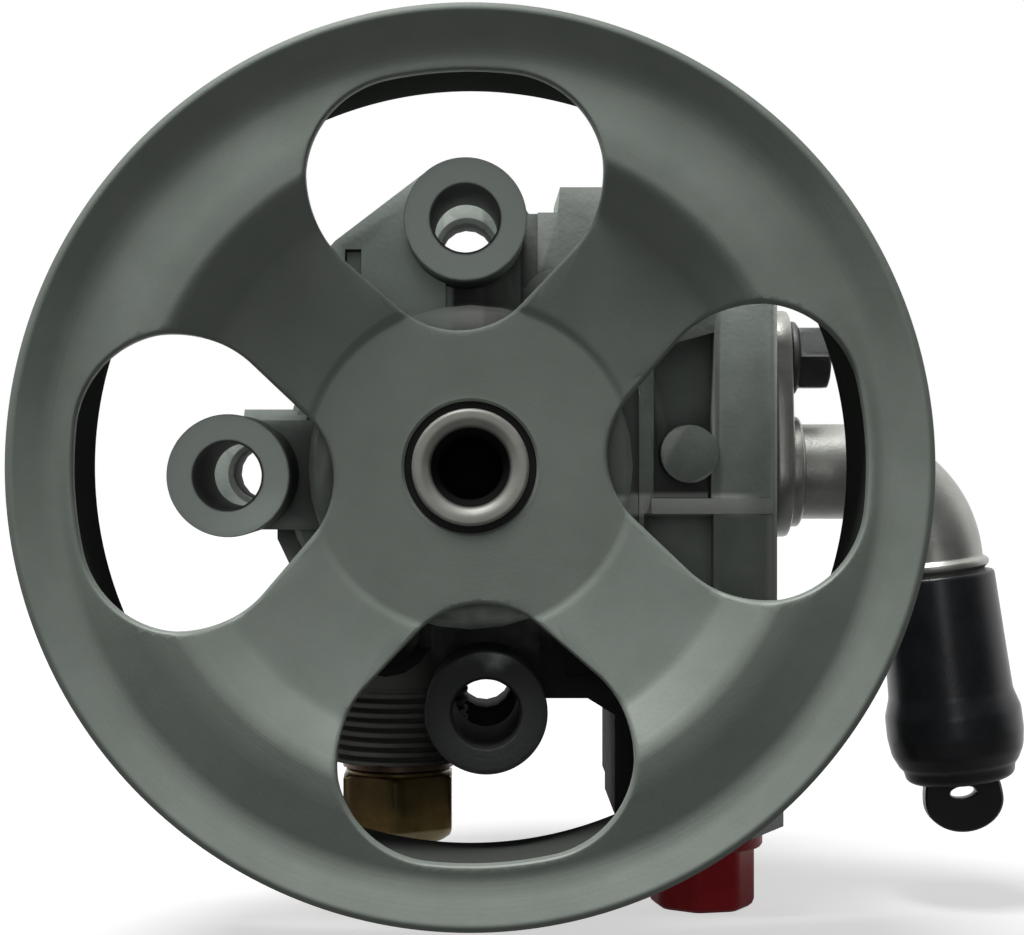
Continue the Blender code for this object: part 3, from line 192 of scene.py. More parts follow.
# Pulley: pressed steel wheel, coated satin grey, with six belt ribs and a dished web.
# It is one revolved skin, and four windows with rolled edges are cut through the web.
def rounded(corners, radius, steps=4):
    """Polyline with each inner corner c replaced by the curve (1-t)^2 a + 2t(1-t) c + t^2 b."""
    corners = np.array(corners, float)
    t = np.linspace(0.0, 1.0, steps + 1)[:, None]
    made = [corners[:1]]
    for before, corner, after in zip(corners, corners[1:], corners[2:]):
        back = before - corner
        ahead = after - corner
        near = min(radius, 0.45 * np.linalg.norm(back), 0.45 * np.linalg.norm(ahead))
        a = corner + back / np.linalg.norm(back) * near
        b = corner + ahead / np.linalg.norm(ahead) * near
        made.append((1 - t) ** 2 * a + 2 * t * (1 - t) * corner + t * t * b)
    return np.concatenate(made + [corners[-1:]])


def body_from(name, points, faces, angle=32.0):
    """Object in the row frame from points in millimetres, smooth but for edges over an angle."""
    mesh = bpy.data.meshes.new(name)
    mesh.from_pydata((np.asarray(points, float) * 0.001).tolist(), [], faces)
    shape = bmesh.new()
    shape.from_mesh(mesh)
    bmesh.ops.remove_doubles(shape, verts=shape.verts, dist=1e-7)
    bmesh.ops.recalc_face_normals(shape, faces=shape.faces)
    shape.to_mesh(mesh)
    shape.free()
    mesh.shade_smooth()
    mesh.set_sharp_from_angle(angle=math.radians(angle))
    piece = bpy.data.objects.new(name, mesh)
    bpy.context.scene.collection.objects.link(piece)
    return piece


def quads(rows, steps, closed=False, first=0):
    """Faces between rings of steps points each; closed joins the last ring to the first."""
    j, k = np.mgrid[0:rows if closed else rows - 1, 0:steps]
    here = j * steps + first
    there = (j + 1) % rows * steps + first
    n = (k + 1) % steps
    return np.stack([here + k, here + n, there + n, there + k], axis=-1).reshape(-1, 4).tolist()


def revolved(profile, steps, place, closed=True):
    """Points place(r, s, a) for a profile (r, s) turned by a = 2 pi k / steps, with its quads."""
    profile = np.asarray(profile, float)
    turn = 2 * np.pi * np.arange(steps) / steps
    r = np.repeat(profile[:, 0], steps)
    s = np.repeat(profile[:, 1], steps)
    return place(r, s, np.tile(turn, len(profile))), quads(len(profile), steps, closed)


def about_y(r, s, a):
    """(r cos a, s, r sin a): turned about the shaft."""
    return np.stack([r * np.cos(a), s, r * np.sin(a)], axis=1)


rim_ahead = 16.0
first_rib, rib_pitch = 5.28, 3.56
rib_section = ((-1.35, 62.3), (-1.2, 62.18), (-0.18, 60.25), (0.0, 60.1), (0.18, 60.25))
rib_section += ((1.2, 62.18), (1.35, 62.3))
front = rounded([
    (10.0, 11.33), (11.5, 11.33), (19.6, 11.3), (24.6, 11.27), (25.6, 10.7), (40.4, 6.9),
    (41.9, 6.4), (47.2, 2.0),
], 1.0)
shoulder = rounded([
    (47.2, 2.0), (48.9, 1.15), (52.4, 1.3), (60.4, 2.7), (62.4, 2.2), (66.6, 0.0), (67.5, 0.35),
], 1.6)
lip = rounded([(67.5, 0.35), (67.5, 1.5), (66.7, 2.1), (62.9, 3.3), (62.3, 4.1)], 0.5)
ribs = [(r, first_rib + rib_pitch * k + s) for k in range(6) for s, r in rib_section]
skirt = rounded([
    (62.3, 25.2), (62.1, 25.35), (59.2, 25.35), (58.9, 24.9), (58.9, 5.7), (57.9, 5.0),
], 0.4)
under = rounded([
    (57.9, 5.0), (49.4, 3.8), (48.6, 4.6), (42.8, 9.1), (41.0, 9.5), (26.1, 13.1), (24.7, 13.9),
], 1.2)
bore = [(10.45, 13.9), (10.0, 13.5), (10.0, 11.7), (10.4, 11.3)]
wheel = np.concatenate([front[1:], shoulder[1:], lip[1:], ribs, skirt, under[1:], bore])
wheel[:, 1] -= rim_ahead
points, faces = revolved(wheel, 256, about_y)
pulley = body_from("pulley_wheel", points, faces, 26.0)


def window(turn, grow):
    """Outline x, z: argmax over discs c, r of c.w + r gives c + (r + grow) w; an arc of the wheel
    closes it outside, and the whole is turned by turn degrees."""
    disc_x, disc_z, arc = 6.8, 42.66, 58.2
    discs = np.array([(0.0, 34.0, 13.3), (disc_x, disc_z, 15.0), (-disc_x, disc_z, 15.0)])
    a = np.arange(0.0, 360.0, 2.5)
    way = np.stack([np.cos(np.radians(a)), np.sin(np.radians(a))], axis=1)
    best = discs[np.argmax(way @ discs[:, :2].T + discs[:, 2], axis=1)]
    outside = np.abs(a - 90) <= math.degrees(math.atan2(disc_x, disc_z))
    hull = best[:, :2] + (best[:, 2:] + grow) * way
    made = np.where(outside[:, None], way * (arc + grow), hull)
    c, s = math.cos(math.radians(turn)), math.sin(math.radians(turn))
    return np.stack([made[:, 0] * c - made[:, 1] * s, made[:, 0] * s + made[:, 1] * c], axis=1)


outer_skin = np.concatenate([front, shoulder])
inner_skin = np.concatenate([skirt[-1:], under, bore[:1]])[::-1]
edge_rows = (
    (0.7, outer_skin, -6.0), (0.7, outer_skin, -0.02), (0.35, outer_skin, 0.12),
    (0.1, outer_skin, 0.4), (0.0, outer_skin, 0.8), (0.0, inner_skin, -0.5),
    (0.1, inner_skin, -0.2), (0.35, inner_skin, 0.02), (0.35, inner_skin, 6.0),
)
cuts = []
cut_faces = []
first = 0
for turn in (3.0, 93.0, 183.0, 273.0):
    for grow, skin, step in edge_rows:
        line = window(turn, grow)
        depth = np.interp(np.hypot(line[:, 0], line[:, 1]), skin[:, 0], skin[:, 1])
        cuts.append(np.stack([line[:, 0], depth + step - rim_ahead, line[:, 1]], axis=1))
    count = len(line)
    last = first + (len(edge_rows) - 1) * count
    cut_faces += quads(len(edge_rows), count, first=first)
    cut_faces += [range(first, first + count), range(last, last + count)]
    first = last + count
cutter = body_from("pulley_cutter", np.concatenate(cuts), cut_faces)
change = pulley.modifiers.new("windows", "BOOLEAN")
change.operation = "DIFFERENCE"
change.solver = "EXACT"
change.object = cutter
made = bpy.data.meshes.new_from_object(pulley.evaluated_get(bpy.context.evaluated_depsgraph_get()))
pulley.modifiers.clear()
pulley.data = made
made.shade_smooth()
made.set_sharp_from_angle(angle=math.radians(26))
bpy.data.objects.remove(cutter, do_unlink=True)


def finish(name, dark, light, metallic, rough, patch, grain, bump, worn=None, wear=0.0, shine=0.5):
    """Principled surface: colour and roughness drift in patches, fine grain, worn raised edges."""
    look = bpy.data.materials.new(name)
    look.use_nodes = True
    nodes = look.node_tree.nodes
    link = look.node_tree.links.new
    shader = nodes["Principled BSDF"]
    shader.inputs["Metallic"].default_value = metallic
    shader.inputs["Specular IOR Level"].default_value = shine
    place = nodes.new("ShaderNodeTexCoord")
    cloud = nodes.new("ShaderNodeTexNoise")
    cloud.inputs["Scale"].default_value = 1.0 / patch
    cloud.inputs["Detail"].default_value = 6.0
    cloud.inputs["Roughness"].default_value = 0.62
    link(place.outputs["Object"], cloud.inputs["Vector"])
    tint = nodes.new("ShaderNodeMix")
    tint.data_type = "RGBA"
    tint.inputs["A"].default_value = (*dark, 1.0)
    tint.inputs["B"].default_value = (*light, 1.0)
    spread = nodes.new("ShaderNodeMapRange")
    spread.inputs["From Min"].default_value = 0.3
    spread.inputs["From Max"].default_value = 0.7
    link(cloud.outputs["Fac"], spread.inputs["Value"])
    link(spread.outputs[0], tint.inputs["Factor"])
    colour = tint.outputs["Result"]
    if worn:
        edge = nodes.new("ShaderNodeNewGeometry")
        raised = nodes.new("ShaderNodeMapRange")
        raised.inputs["From Min"].default_value = 0.53
        raised.inputs["From Max"].default_value = 0.62
        raised.inputs["To Max"].default_value = wear
        link(edge.outputs["Pointiness"], raised.inputs["Value"])
        rubbed = nodes.new("ShaderNodeMix")
        rubbed.data_type = "RGBA"
        rubbed.inputs["B"].default_value = (*worn, 1.0)
        link(raised.outputs[0], rubbed.inputs["Factor"])
        link(colour, rubbed.inputs["A"])
        colour = rubbed.outputs["Result"]
    link(colour, shader.inputs["Base Color"])
    gloss = nodes.new("ShaderNodeMapRange")
    gloss.inputs["To Min"].default_value = rough[0]
    gloss.inputs["To Max"].default_value = rough[1]
    link(cloud.outputs["Fac"], gloss.inputs["Value"])
    link(gloss.outputs[0], shader.inputs["Roughness"])
    sand = nodes.new("ShaderNodeTexNoise")
    sand.name = "sand"
    sand.inputs["Scale"].default_value = 1.0 / grain
    sand.inputs["Detail"].default_value = 3.0
    link(place.outputs["Object"], sand.inputs["Vector"])
    relief = nodes.new("ShaderNodeBump")
    relief.name = "relief"
    relief.inputs["Strength"].default_value = 1.0
    relief.inputs["Distance"].default_value = bump
    link(sand.outputs["Fac"], relief.inputs["Height"])
    link(relief.outputs[0], shader.inputs["Normal"])
    return look


def off_axis(look, x=0.0, z=0.0):
    """Distance of the surface from a line along Y, sqrt((X - x)^2 + (Z - z)^2)."""
    nodes = look.node_tree.nodes
    link = look.node_tree.links.new
    place = nodes.new("ShaderNodeTexCoord")
    flat = nodes.new("ShaderNodeVectorMath")
    flat.operation = "MULTIPLY"
    flat.inputs[1].default_value = (1.0, 0.0, 1.0)
    link(place.outputs["Object"], flat.inputs[0])
    reach = nodes.new("ShaderNodeVectorMath")
    reach.operation = "DISTANCE"
    reach.inputs[1].default_value = (x, 0.0, z)
    link(flat.outputs["Vector"], reach.inputs[0])
    return reach.outputs["Value"]


def zone(look, way, low, high, soft=0.0004):
    """Factor 1 where the coordinate X, Y or Z, or the distance R from the shaft, is in a band."""
    nodes = look.node_tree.nodes
    link = look.node_tree.links.new
    if way == "R":
        value = off_axis(look)
    else:
        place = nodes.new("ShaderNodeTexCoord")
        split = nodes.new("ShaderNodeSeparateXYZ")
        link(place.outputs["Object"], split.inputs[0])
        value = split.outputs[way]
    edges = []
    for start, stop in ((low - soft, low + soft), (high + soft, high - soft)):
        edge = nodes.new("ShaderNodeMapRange")
        edge.inputs["From Min"].default_value = start
        edge.inputs["From Max"].default_value = stop
        link(value, edge.inputs["Value"])
        edges.append(edge.outputs[0])
    return both_of(look, *edges)


def both_of(look, *factors):
    """Product of factors."""
    made = factors[0]
    for factor in factors[1:]:
        product = look.node_tree.nodes.new("ShaderNodeMath")
        product.operation = "MULTIPLY"
        look.node_tree.links.new(made, product.inputs[0])
        look.node_tree.links.new(factor, product.inputs[1])
        made = product.outputs[0]
    return made


def zones(look, *bands):
    """Factor 1 where every band, given as the arguments of zone, holds."""
    return both_of(look, *[zone(look, *band) for band in bands])


def overlay(look, colour, factor, most=1.0):
    """Lays a colour over a material's own colour where factor is high."""
    tree = look.node_tree
    shader = tree.nodes["Principled BSDF"]
    own = shader.inputs["Base Color"].links[0].from_socket
    lay = tree.nodes.new("ShaderNodeMix")
    lay.data_type = "RGBA"
    lay.inputs["B"].default_value = (*colour, 1.0)
    amount = tree.nodes.new("ShaderNodeMath")
    amount.operation = "MULTIPLY"
    amount.inputs[1].default_value = most
    tree.links.new(factor, amount.inputs[0])
    tree.links.new(amount.outputs[0], lay.inputs["Factor"])
    tree.links.new(own, lay.inputs["A"])
    tree.links.new(lay.outputs["Result"], shader.inputs["Base Color"])


def matt(look, factor):
    """Takes the gloss away where factor is high, so that painted shade there stays dark."""
    tree = look.node_tree
    shader = tree.nodes["Principled BSDF"]
    for name in ("Metallic", "Specular IOR Level"):
        fade = tree.nodes.new("ShaderNodeMapRange")
        fade.inputs["To Min"].default_value = shader.inputs[name].default_value
        fade.inputs["To Max"].default_value = 0.0
        tree.links.new(factor, fade.inputs["Value"])
        tree.links.new(fade.outputs[0], shader.inputs[name])


pulley_look = finish(
    "pulley_coat", (0.230, 0.262, 0.232), (0.275, 0.307, 0.277), 0.1, (0.44, 0.56),
    0.011, 0.0006, 0.00002, shine=0.3,
)
# Painted shade: the inside of the rim is laid dark and loses its gloss.
rim_shade = zones(pulley_look, ("R", 0.050, 0.0594), ("Y", -0.0112, 0.02))
overlay(pulley_look, (0.07, 0.075, 0.07), rim_shade)
matt(pulley_look, rim_shade)
nodes = pulley_look.node_tree.nodes
link = pulley_look.node_tree.links.new
spin = nodes.new("ShaderNodeTexNoise")
spin.noise_dimensions = "1D"
spin.inputs["Scale"].default_value = 2600.0
spin.inputs["Detail"].default_value = 4.0
link(off_axis(pulley_look), spin.inputs["W"])
both = nodes.new("ShaderNodeMath")
both.operation = "MULTIPLY_ADD"
both.inputs[1].default_value = 0.55
link(spin.outputs["Fac"], both.inputs[0])
link(nodes["sand"].outputs["Fac"], both.inputs[2])
link(both.outputs[0], nodes["relief"].inputs["Height"])
pulley.data.materials.clear()
pulley.data.materials.append(pulley_look)
even = pulley.modifiers.new("even", "WEIGHTED_NORMAL")
even.keep_sharp = True
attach(pulley, "shaft_group")
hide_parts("pulley")


# Drive shaft: turned bar, ground outside, with a chamfered and threaded centre hole.
# The hole is what a puller screws into; the shaft stands just proud of the pulley web.
def about(axis, centre):
    """Place function for a profile (r, s) turned about an axis through a centre of its plane."""
    def place(r, s, a):
        u = centre[0] + r * np.cos(a)
        v = centre[1] + r * np.sin(a)
        s = s + 0.0 * a
        return np.stack({"X": [s, u, v], "Y": [u, s, v], "Z": [u, v, s]}[axis], axis=1)
    return place


thread_end, thread_turns = 12.9, 15
thread_section = ((0.0, 5.35), (0.15, 5.3), (0.45, 4.85), (0.6, 4.85), (0.9, 5.3))
hole_end = [(0.0, 17.0), (4.9, 14.4)]
threads = [(r, thread_end - k - s) for k in range(thread_turns) for s, r in thread_section]
mouth = rounded([
    (4.95, -3.0), (6.3, -4.9), (7.3, -5.5), (8.5, -5.5), (8.85, -5.1), (8.85, -3.6), (8.5, -3.2),
], 0.4)
tail_end = rounded([
    (8.5, 30.0), (8.5, 31.0), (7.5, 32.0), (7.5, 55.2), (6.7, 56.0), (0.0, 56.0),
], 0.3)
bar = np.concatenate([hole_end, threads, mouth, tail_end])
points, faces = revolved(bar, 128, about("Y", (0.0, 0.0)), False)
shaft = body_from("shaft_bar", points, faces)
shaft_look = finish(
    "shaft_steel", (0.36, 0.36, 0.33), (0.46, 0.46, 0.42), 0.35, (0.45, 0.58),
    0.004, 0.00025, 0.000015, (0.50, 0.50, 0.46), 0.3,
)
# Painted shade: the threaded hole is laid near black and loses its gloss.
hole_shade = zone(shaft_look, "R", -1.0, 0.0062, 0.0003)
overlay(shaft_look, (0.012, 0.013, 0.012), hole_shade)
matt(shaft_look, hole_shade)
shaft.data.materials.append(shaft_look)
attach(shaft, "shaft_group")
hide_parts("drive_shaft")

# Castings: front housing and rear cover, die cast in aluminium and left as cast.
# Their CAD solids stay, with rounded edges; lower down, painted shade darkens the casting.
group = bpy.data.node_groups.new("smooth_by_angle", "GeometryNodeTree")
group.interface.new_socket("Geometry", in_out="INPUT", socket_type="NodeSocketGeometry")
group.interface.new_socket("Geometry", in_out="OUTPUT", socket_type="NodeSocketGeometry")
enter = group.nodes.new("NodeGroupInput")
leave = group.nodes.new("NodeGroupOutput")
all_smooth = group.nodes.new("GeometryNodeSetShadeSmooth")
edge_sharp = group.nodes.new("GeometryNodeSetShadeSmooth")
edge_sharp.domain = "EDGE"
edge_sharp.inputs["Shade Smooth"].default_value = False
fold = group.nodes.new("GeometryNodeInputMeshEdgeAngle")
steep = group.nodes.new("FunctionNodeCompare")
steep.operation = "GREATER_THAN"
steep.inputs["B"].default_value = math.radians(34)
group.links.new(fold.outputs["Unsigned Angle"], steep.inputs["A"])
group.links.new(steep.outputs[0], edge_sharp.inputs["Selection"])
group.links.new(enter.outputs[0], all_smooth.inputs["Geometry"])
group.links.new(all_smooth.outputs[0], edge_sharp.inputs["Geometry"])
group.links.new(edge_sharp.outputs[0], leave.inputs[0])


def soften(node, width=0.0, segments=2):
    """Welds a CAD node, clears its flat faces, rounds its edges and shades it smooth by angle."""
    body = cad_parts[node]
    weld = body.modifiers.new("weld", "WELD")
    weld.merge_threshold = 1e-6
    if width:
        clear = body.modifiers.new("clear", "DECIMATE")
        clear.decimate_type = "DISSOLVE"
        clear.angle_limit = math.radians(1.0)
        edge = body.modifiers.new("edge", "BEVEL")
        edge.width = width
        edge.segments = segments
        edge.limit_method = "ANGLE"
        edge.angle_limit = math.radians(38)
        edge.use_clamp_overlap = True
        edge.miter_outer = "MITER_ARC"
    shade = body.modifiers.new("shade", "NODES")
    shade.node_group = group
    return body


def painted_shade(look, lit_z, shaded_z, colour, most, reach=0.2):
    """Painted shade that deepens from the first height to the second, for X below reach, broken up
    by noise.
    """
    tree = look.node_tree
    place = tree.nodes.new("ShaderNodeTexCoord")
    split = tree.nodes.new("ShaderNodeSeparateXYZ")
    tree.links.new(place.outputs["Object"], split.inputs[0])
    cloud = tree.nodes.new("ShaderNodeTexNoise")
    cloud.inputs["Scale"].default_value = 160.0
    cloud.inputs["Detail"].default_value = 5.0
    tree.links.new(place.outputs["Object"], cloud.inputs["Vector"])
    mixed = tree.nodes.new("ShaderNodeMath")
    mixed.operation = "MULTIPLY_ADD"
    mixed.inputs[1].default_value = 0.012
    tree.links.new(cloud.outputs["Fac"], mixed.inputs[0])
    tree.links.new(split.outputs["Z"], mixed.inputs[2])
    fall = tree.nodes.new("ShaderNodeMapRange")
    fall.interpolation_type = "SMOOTHSTEP"
    fall.inputs["From Min"].default_value = lit_z + 0.006
    fall.inputs["From Max"].default_value = shaded_z + 0.006
    fall.inputs["To Max"].default_value = most
    tree.links.new(mixed.outputs[0], fall.inputs["Value"])
    overlay(look, colour, both_of(look, fall.outputs[0], zone(look, "X", -0.2, reach, 0.003)))


cast_look = finish(
    "cast_alloy", (0.33, 0.375, 0.34), (0.43, 0.48, 0.44), 0.0, (0.62, 0.78),
    0.006, 0.0008, 0.00009, (0.66, 0.69, 0.65), 0.8, 0.10,
)
nodes = cast_look.node_tree.nodes
link = cast_look.node_tree.links.new
lug_centres = {"top": (-0.8, 38.0), "left": (-37.1, -1.3), "bottom": (2.4, -37.6)}

# Milled and ground places, paler than the cast skin and painted lighter still as painted light: the
# lugs' front faces, and the seat under the top lug.
overlay(cast_look, (0.86, 0.96, 0.89), zone(cast_look, "Y", -0.001, 0.0008), 0.95)
seat = zones(cast_look, ("R", 0.0205, 0.0262), ("Z", 0.015, 0.04), ("Y", -0.004, 0.02))
overlay(cast_look, (0.95, 0.96, 0.93), seat, 0.95)

# Shadowed places: the lug bores, and the pockets that little light reaches.
for x, z in lug_centres.values():
    bored = nodes.new("ShaderNodeMapRange")
    bored.inputs["From Min"].default_value = 0.0056
    bored.inputs["From Max"].default_value = 0.0054
    link(off_axis(cast_look, x / 1000, z / 1000), bored.inputs["Value"])
    overlay(cast_look, (0.13, 0.14, 0.13), bored.outputs[0])
pocket = nodes.new("ShaderNodeAmbientOcclusion")
pocket.inputs["Distance"].default_value = 0.009
hollow = nodes.new("ShaderNodeMapRange")
hollow.inputs["From Min"].default_value = 0.75
hollow.inputs["From Max"].default_value = 0.35
link(pocket.outputs["AO"], hollow.inputs["Value"])
overlay(cast_look, (0.07, 0.07, 0.068), hollow.outputs[0], 0.8)

# Front-facing places: painted shade on a face right of the top lug, painted light on the web left
# of it and on the ledge of the valve block. Painted shade lies over all of them from the middle
# down.
facing = nodes.new("ShaderNodeNewGeometry")
normal = nodes.new("ShaderNodeSeparateXYZ")
link(facing.outputs["Normal"], normal.inputs[0])
turned_ahead = nodes.new("ShaderNodeMapRange")
turned_ahead.inputs["From Min"].default_value = -0.5
turned_ahead.inputs["From Max"].default_value = -0.85
link(normal.outputs["Y"], turned_ahead.inputs["Value"])
frontal = turned_ahead.outputs[0]
dimmed = zones(cast_look, ("Z", 0.018, 0.06), ("Y", 0.002, 0.06), ("X", 0.002, 0.0305))
web = zones(cast_look, ("X", -0.034, -0.003), ("Z", 0.014, 0.05), ("Y", 0.002, 0.03))
ledge = zones(
    cast_look, ("Z", -0.0078, -0.0044), ("X", 0.020, 0.045, 0.002), ("Y", -0.01, 0.034),
)
# Painted shade on the face right of the top lug; painted light on the web and the ledge.
overlay(cast_look, (0.09, 0.095, 0.09), both_of(cast_look, frontal, dimmed), 0.45)
overlay(cast_look, (0.84, 0.95, 0.88), both_of(cast_look, frontal, web), 0.9)
overlay(cast_look, (0.93, 0.95, 0.90), both_of(cast_look, frontal, ledge), 0.9)
# Painted shade, darker from the middle of the casting down.
painted_shade(cast_look, -0.020, -0.031, (0.018, 0.018, 0.018), 0.95, 0.0375)
for node, width in (("front_housing", 0.0007), ("rear_cover", 0.0006)):
    body = soften(node, width)
    body.data.materials.clear()
    body.data.materials.append(cast_look)

# Turned skins: the lugs and the ribbed boss of the casting are round, so each gets a fine skin.
# A skin lies just proud of its faceted solid; the lugs share the casting's finish, and the ribbed
# boss has a duller one, with painted shade in the valleys between its ribs and over its right side.
lug_section = rounded([
    (5.14, 25.3), (5.14, 0.7), (5.3, 0.45), (6.75, -0.02), (8.9, -0.02), (9.42, 0.5),
    (9.42, 24.9), (8.9, 25.3), (5.14, 25.3),
], 0.4)
skins = [
    ("lug_skin_" + name, lug_section[:-1], about("Y", centre), cast_look)
    for name, centre in lug_centres.items()
]
crest_low, crest_pitch, crest_r = -48.7, 1.6, 11.74
crest_section = ((0.0, crest_r), (0.25, crest_r), (0.5, 11.14), (0.7, 11.06))
crest_section += ((0.9, 11.14), (1.2, 11.62))
boss = [(3.0, -49.12), (11.3, -49.12), (11.6, -48.95)]
boss += [(r, crest_low + crest_pitch * k + s) for k in range(8) for s, r in crest_section]
boss += [(crest_r, -35.9), (crest_r, -26.9), (3.0, -26.9)]
boss_place = about("Z", (-12.3, 34.0))
ribbed_look = finish(
    "ribbed_casting", (0.34, 0.35, 0.32), (0.46, 0.47, 0.43), 0.0, (0.62, 0.78),
    0.005, 0.0008, 0.00006, shine=0.1,
)
# Painted shade: dark bands in the valleys between the ribs, and over the boss's right side.
for k in range(7):
    valley = (crest_low + 0.7 + crest_pitch * k) / 1000
    band = zone(ribbed_look, "Z", valley - 0.0004, valley + 0.0004, 0.00015)
    overlay(ribbed_look, (0.05, 0.05, 0.047), band, 0.95)
overlay(ribbed_look, (0.07, 0.07, 0.065), zone(ribbed_look, "X", -0.013, 0.01, 0.006), 0.95)
skins.append(("ribbed_skin", boss, boss_place, ribbed_look))
for name, section, place, skin_look in skins:
    points, faces = revolved(section, 128, place)
    skin = body_from(name, points, faces, 40.0)
    skin.data.materials.append(skin_look)
    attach(skin, "casing")

# Inlet elbow: bent steel tube with a bead, welded into a collar on a thick two-hole flange plate.
# Satin zinc finish; the tube runs right, turns down and ends inside the rubber cap.
pipe_y, pipe_z, pipe_r, pipe_wall = 34.0, -0.85, 8.0, 1.4
bend_x, bend_r = 62.3, 16.0
bend_z = pipe_z - bend_r
bend_turn = math.radians(83.2)
leg_angle = math.radians(6.8)
leg_way = np.array([math.sin(leg_angle), 0.0, -math.cos(leg_angle)])
leg_side = np.array([-leg_way[2], 0.0, leg_way[0]])
leg_start = np.array([
    bend_x + bend_r * math.cos(leg_angle), pipe_y, bend_z + bend_r * math.sin(leg_angle),
])
along_y = np.array([0.0, 1.0, 0.0])


def down_leg(r, s, a):
    """leg_start + s way + r (cos a side + sin a y): turned about the elbow's lower leg."""
    across = np.outer(r * np.cos(a), leg_side) + np.outer(r * np.sin(a), along_y)
    return leg_start + np.outer(s + 0.0 * a, leg_way) + across


def pipe_ring(spot, turn, r, a):
    """spot + r (cos a (sin turn, 0, cos turn) + sin a y): rings of a pipe bent by turn."""
    side = np.stack([np.sin(turn), 0.0 * turn, np.cos(turn)], axis=-1)[:, None]
    across = np.cos(a)[:, None] * side + np.sin(a)[:, None] * along_y
    return (spot[:, None] + r[:, None, None] * across).reshape(-1, 3)


def plate_edge(x, inset, a):
    """Hull of two discs around (y, z): (x, y + (r - inset) cos a, z + (r - inset) sin a)."""
    low, high, low_r, high_r = pipe_z, 18.3, 11.0, 8.0
    lower = low * np.sin(a) + low_r > high * np.sin(a) + high_r
    z = np.where(lower, low, high)
    r = np.where(lower, low_r, high_r) - inset
    return np.stack([x + 0.0 * a, pipe_y + r * np.cos(a), z + r * np.sin(a)], axis=1)


bend_steps, pipe_steps, plate_steps = 28, 64, 96
straight_x = np.array([50.0, 53.0, 56.0, 59.0, bend_x])
turn = bend_turn * np.arange(1, bend_steps + 1) / bend_steps
leg = rounded([
    (0.2, 8.0), (0.7, 8.0), (1.3, 8.9), (2.1, 8.9), (2.8, 8.0), (5.0, 8.0), (26.0, 8.0),
], 0.5)
straight = np.stack([
    straight_x, np.full_like(straight_x, pipe_y), np.full_like(straight_x, pipe_z),
], axis=1)
bend = np.stack([
    bend_x + bend_r * np.sin(turn), np.full_like(turn, pipe_y), bend_z + bend_r * np.cos(turn),
], axis=1)
spots = np.concatenate([straight, bend, leg_start + np.outer(leg[:, 0], leg_way)])
turns = np.concatenate([np.zeros(len(straight)), turn, np.full(len(leg), bend_turn)])
outside_r = np.concatenate([np.full(len(spots) - len(leg), pipe_r), leg[:, 1]])
inside_r = np.full(len(spots), pipe_r - pipe_wall)
pipe = pipe_ring(
    np.concatenate([spots, spots[::-1]]), np.concatenate([turns, turns[::-1]]),
    np.concatenate([outside_r, inside_r]), 2 * np.pi * np.arange(pipe_steps) / pipe_steps,
)
around = np.linspace(0.0, 2 * np.pi, plate_steps, endpoint=False)
plate_rows = ((49.9, 0.5), (50.3, 0.12), (50.8, 0.0), (52.5, 0.0), (53.0, 0.15), (53.2, 0.5))
plate = np.concatenate([plate_edge(x, inset, around) for x, inset in plate_rows])
collar, collar_faces = revolved(
    rounded([(7.0, 52.6), (9.3, 52.8), (9.3, 54.9), (8.6, 55.3), (7.9, 55.4)], 0.4), pipe_steps,
    about("X", (pipe_y, pipe_z)), False,
)
faces = quads(2 * len(spots), pipe_steps, True)
faces += quads(len(plate_rows), plate_steps, first=len(pipe))
plate_end = len(pipe) + len(plate)
faces += [range(len(pipe), len(pipe) + plate_steps), range(plate_end - plate_steps, plate_end)]
faces += [[i + plate_end for i in face] for face in collar_faces]
points = np.concatenate([pipe, plate, collar])
elbow = body_from("elbow_tube", points, faces)
elbow.data.materials.append(finish(
    "satin_zinc", (0.40, 0.41, 0.38), (0.54, 0.55, 0.51), 0.75, (0.34, 0.46),
    0.005, 0.0005, 0.00003, (0.66, 0.67, 0.62), 0.6,
))
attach(elbow, "casing")
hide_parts("inlet_elbow")


# Flange bolts: dark phosphated hex heads on washer faces, one on the inlet flange, four behind.
# Each head is a hexagon with its corners turned off, and has a shank below it.
def faceted(levels, steps, place, flat_r, sides, turn=0.0, full_r=None):
    """Levels (r, s, cut) turned by a: where cut is 1, r is at most flat_r / cos(b), with b the
    angle from the nearest of the flats, times r / full_r if that is given."""
    r, s, cut = np.array(levels).T[:, :, None]
    a = 2 * np.pi * np.arange(steps) / steps
    half = np.pi / sides
    flats = flat_r / np.cos((a + half) % (2 * half) - half)
    limit = flats * r / full_r if full_r else flats
    r = np.where(cut > 0, np.minimum(r, limit), r)
    s = np.broadcast_to(s, r.shape)
    a = np.broadcast_to(a + turn, r.shape)
    return place(r.ravel(), s.ravel(), a.ravel()), quads(len(levels), steps)


def bolt(name, node, axis, centre, seat, tip):
    """Bolt with its washer face at seat on an axis through centre; its shank ends at tip."""
    shank = [(0.0, tip, 0), (2.5, tip, 0), (2.9, tip + 0.5, 0), (2.9, seat, 0), (5.6, seat, 0)]
    head = [
        (6.05, 0.15, 0), (6.2, 0.5, 0), (6.15, 0.9, 0), (5.9, 1.15, 0), (5.55, 1.45, 1),
        (5.77, 1.7, 1), (5.77, 5.9, 1), (5.45, 6.2, 1), (5.0, 6.45, 1), (4.6, 6.6, 1),
        (3.4, 6.5, 0), (3.0, 6.1, 0), (0.0, 6.1, 0),
    ]
    levels = shank + [(r, seat + s, cut) for r, s, cut in head]
    points, faces = faceted(levels, 72, about(axis, centre), 5.0, 6, np.pi / 6)
    piece = body_from(name, points, faces)
    piece.data.materials.append(bolt_look)
    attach(piece, "casing")
    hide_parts(node)


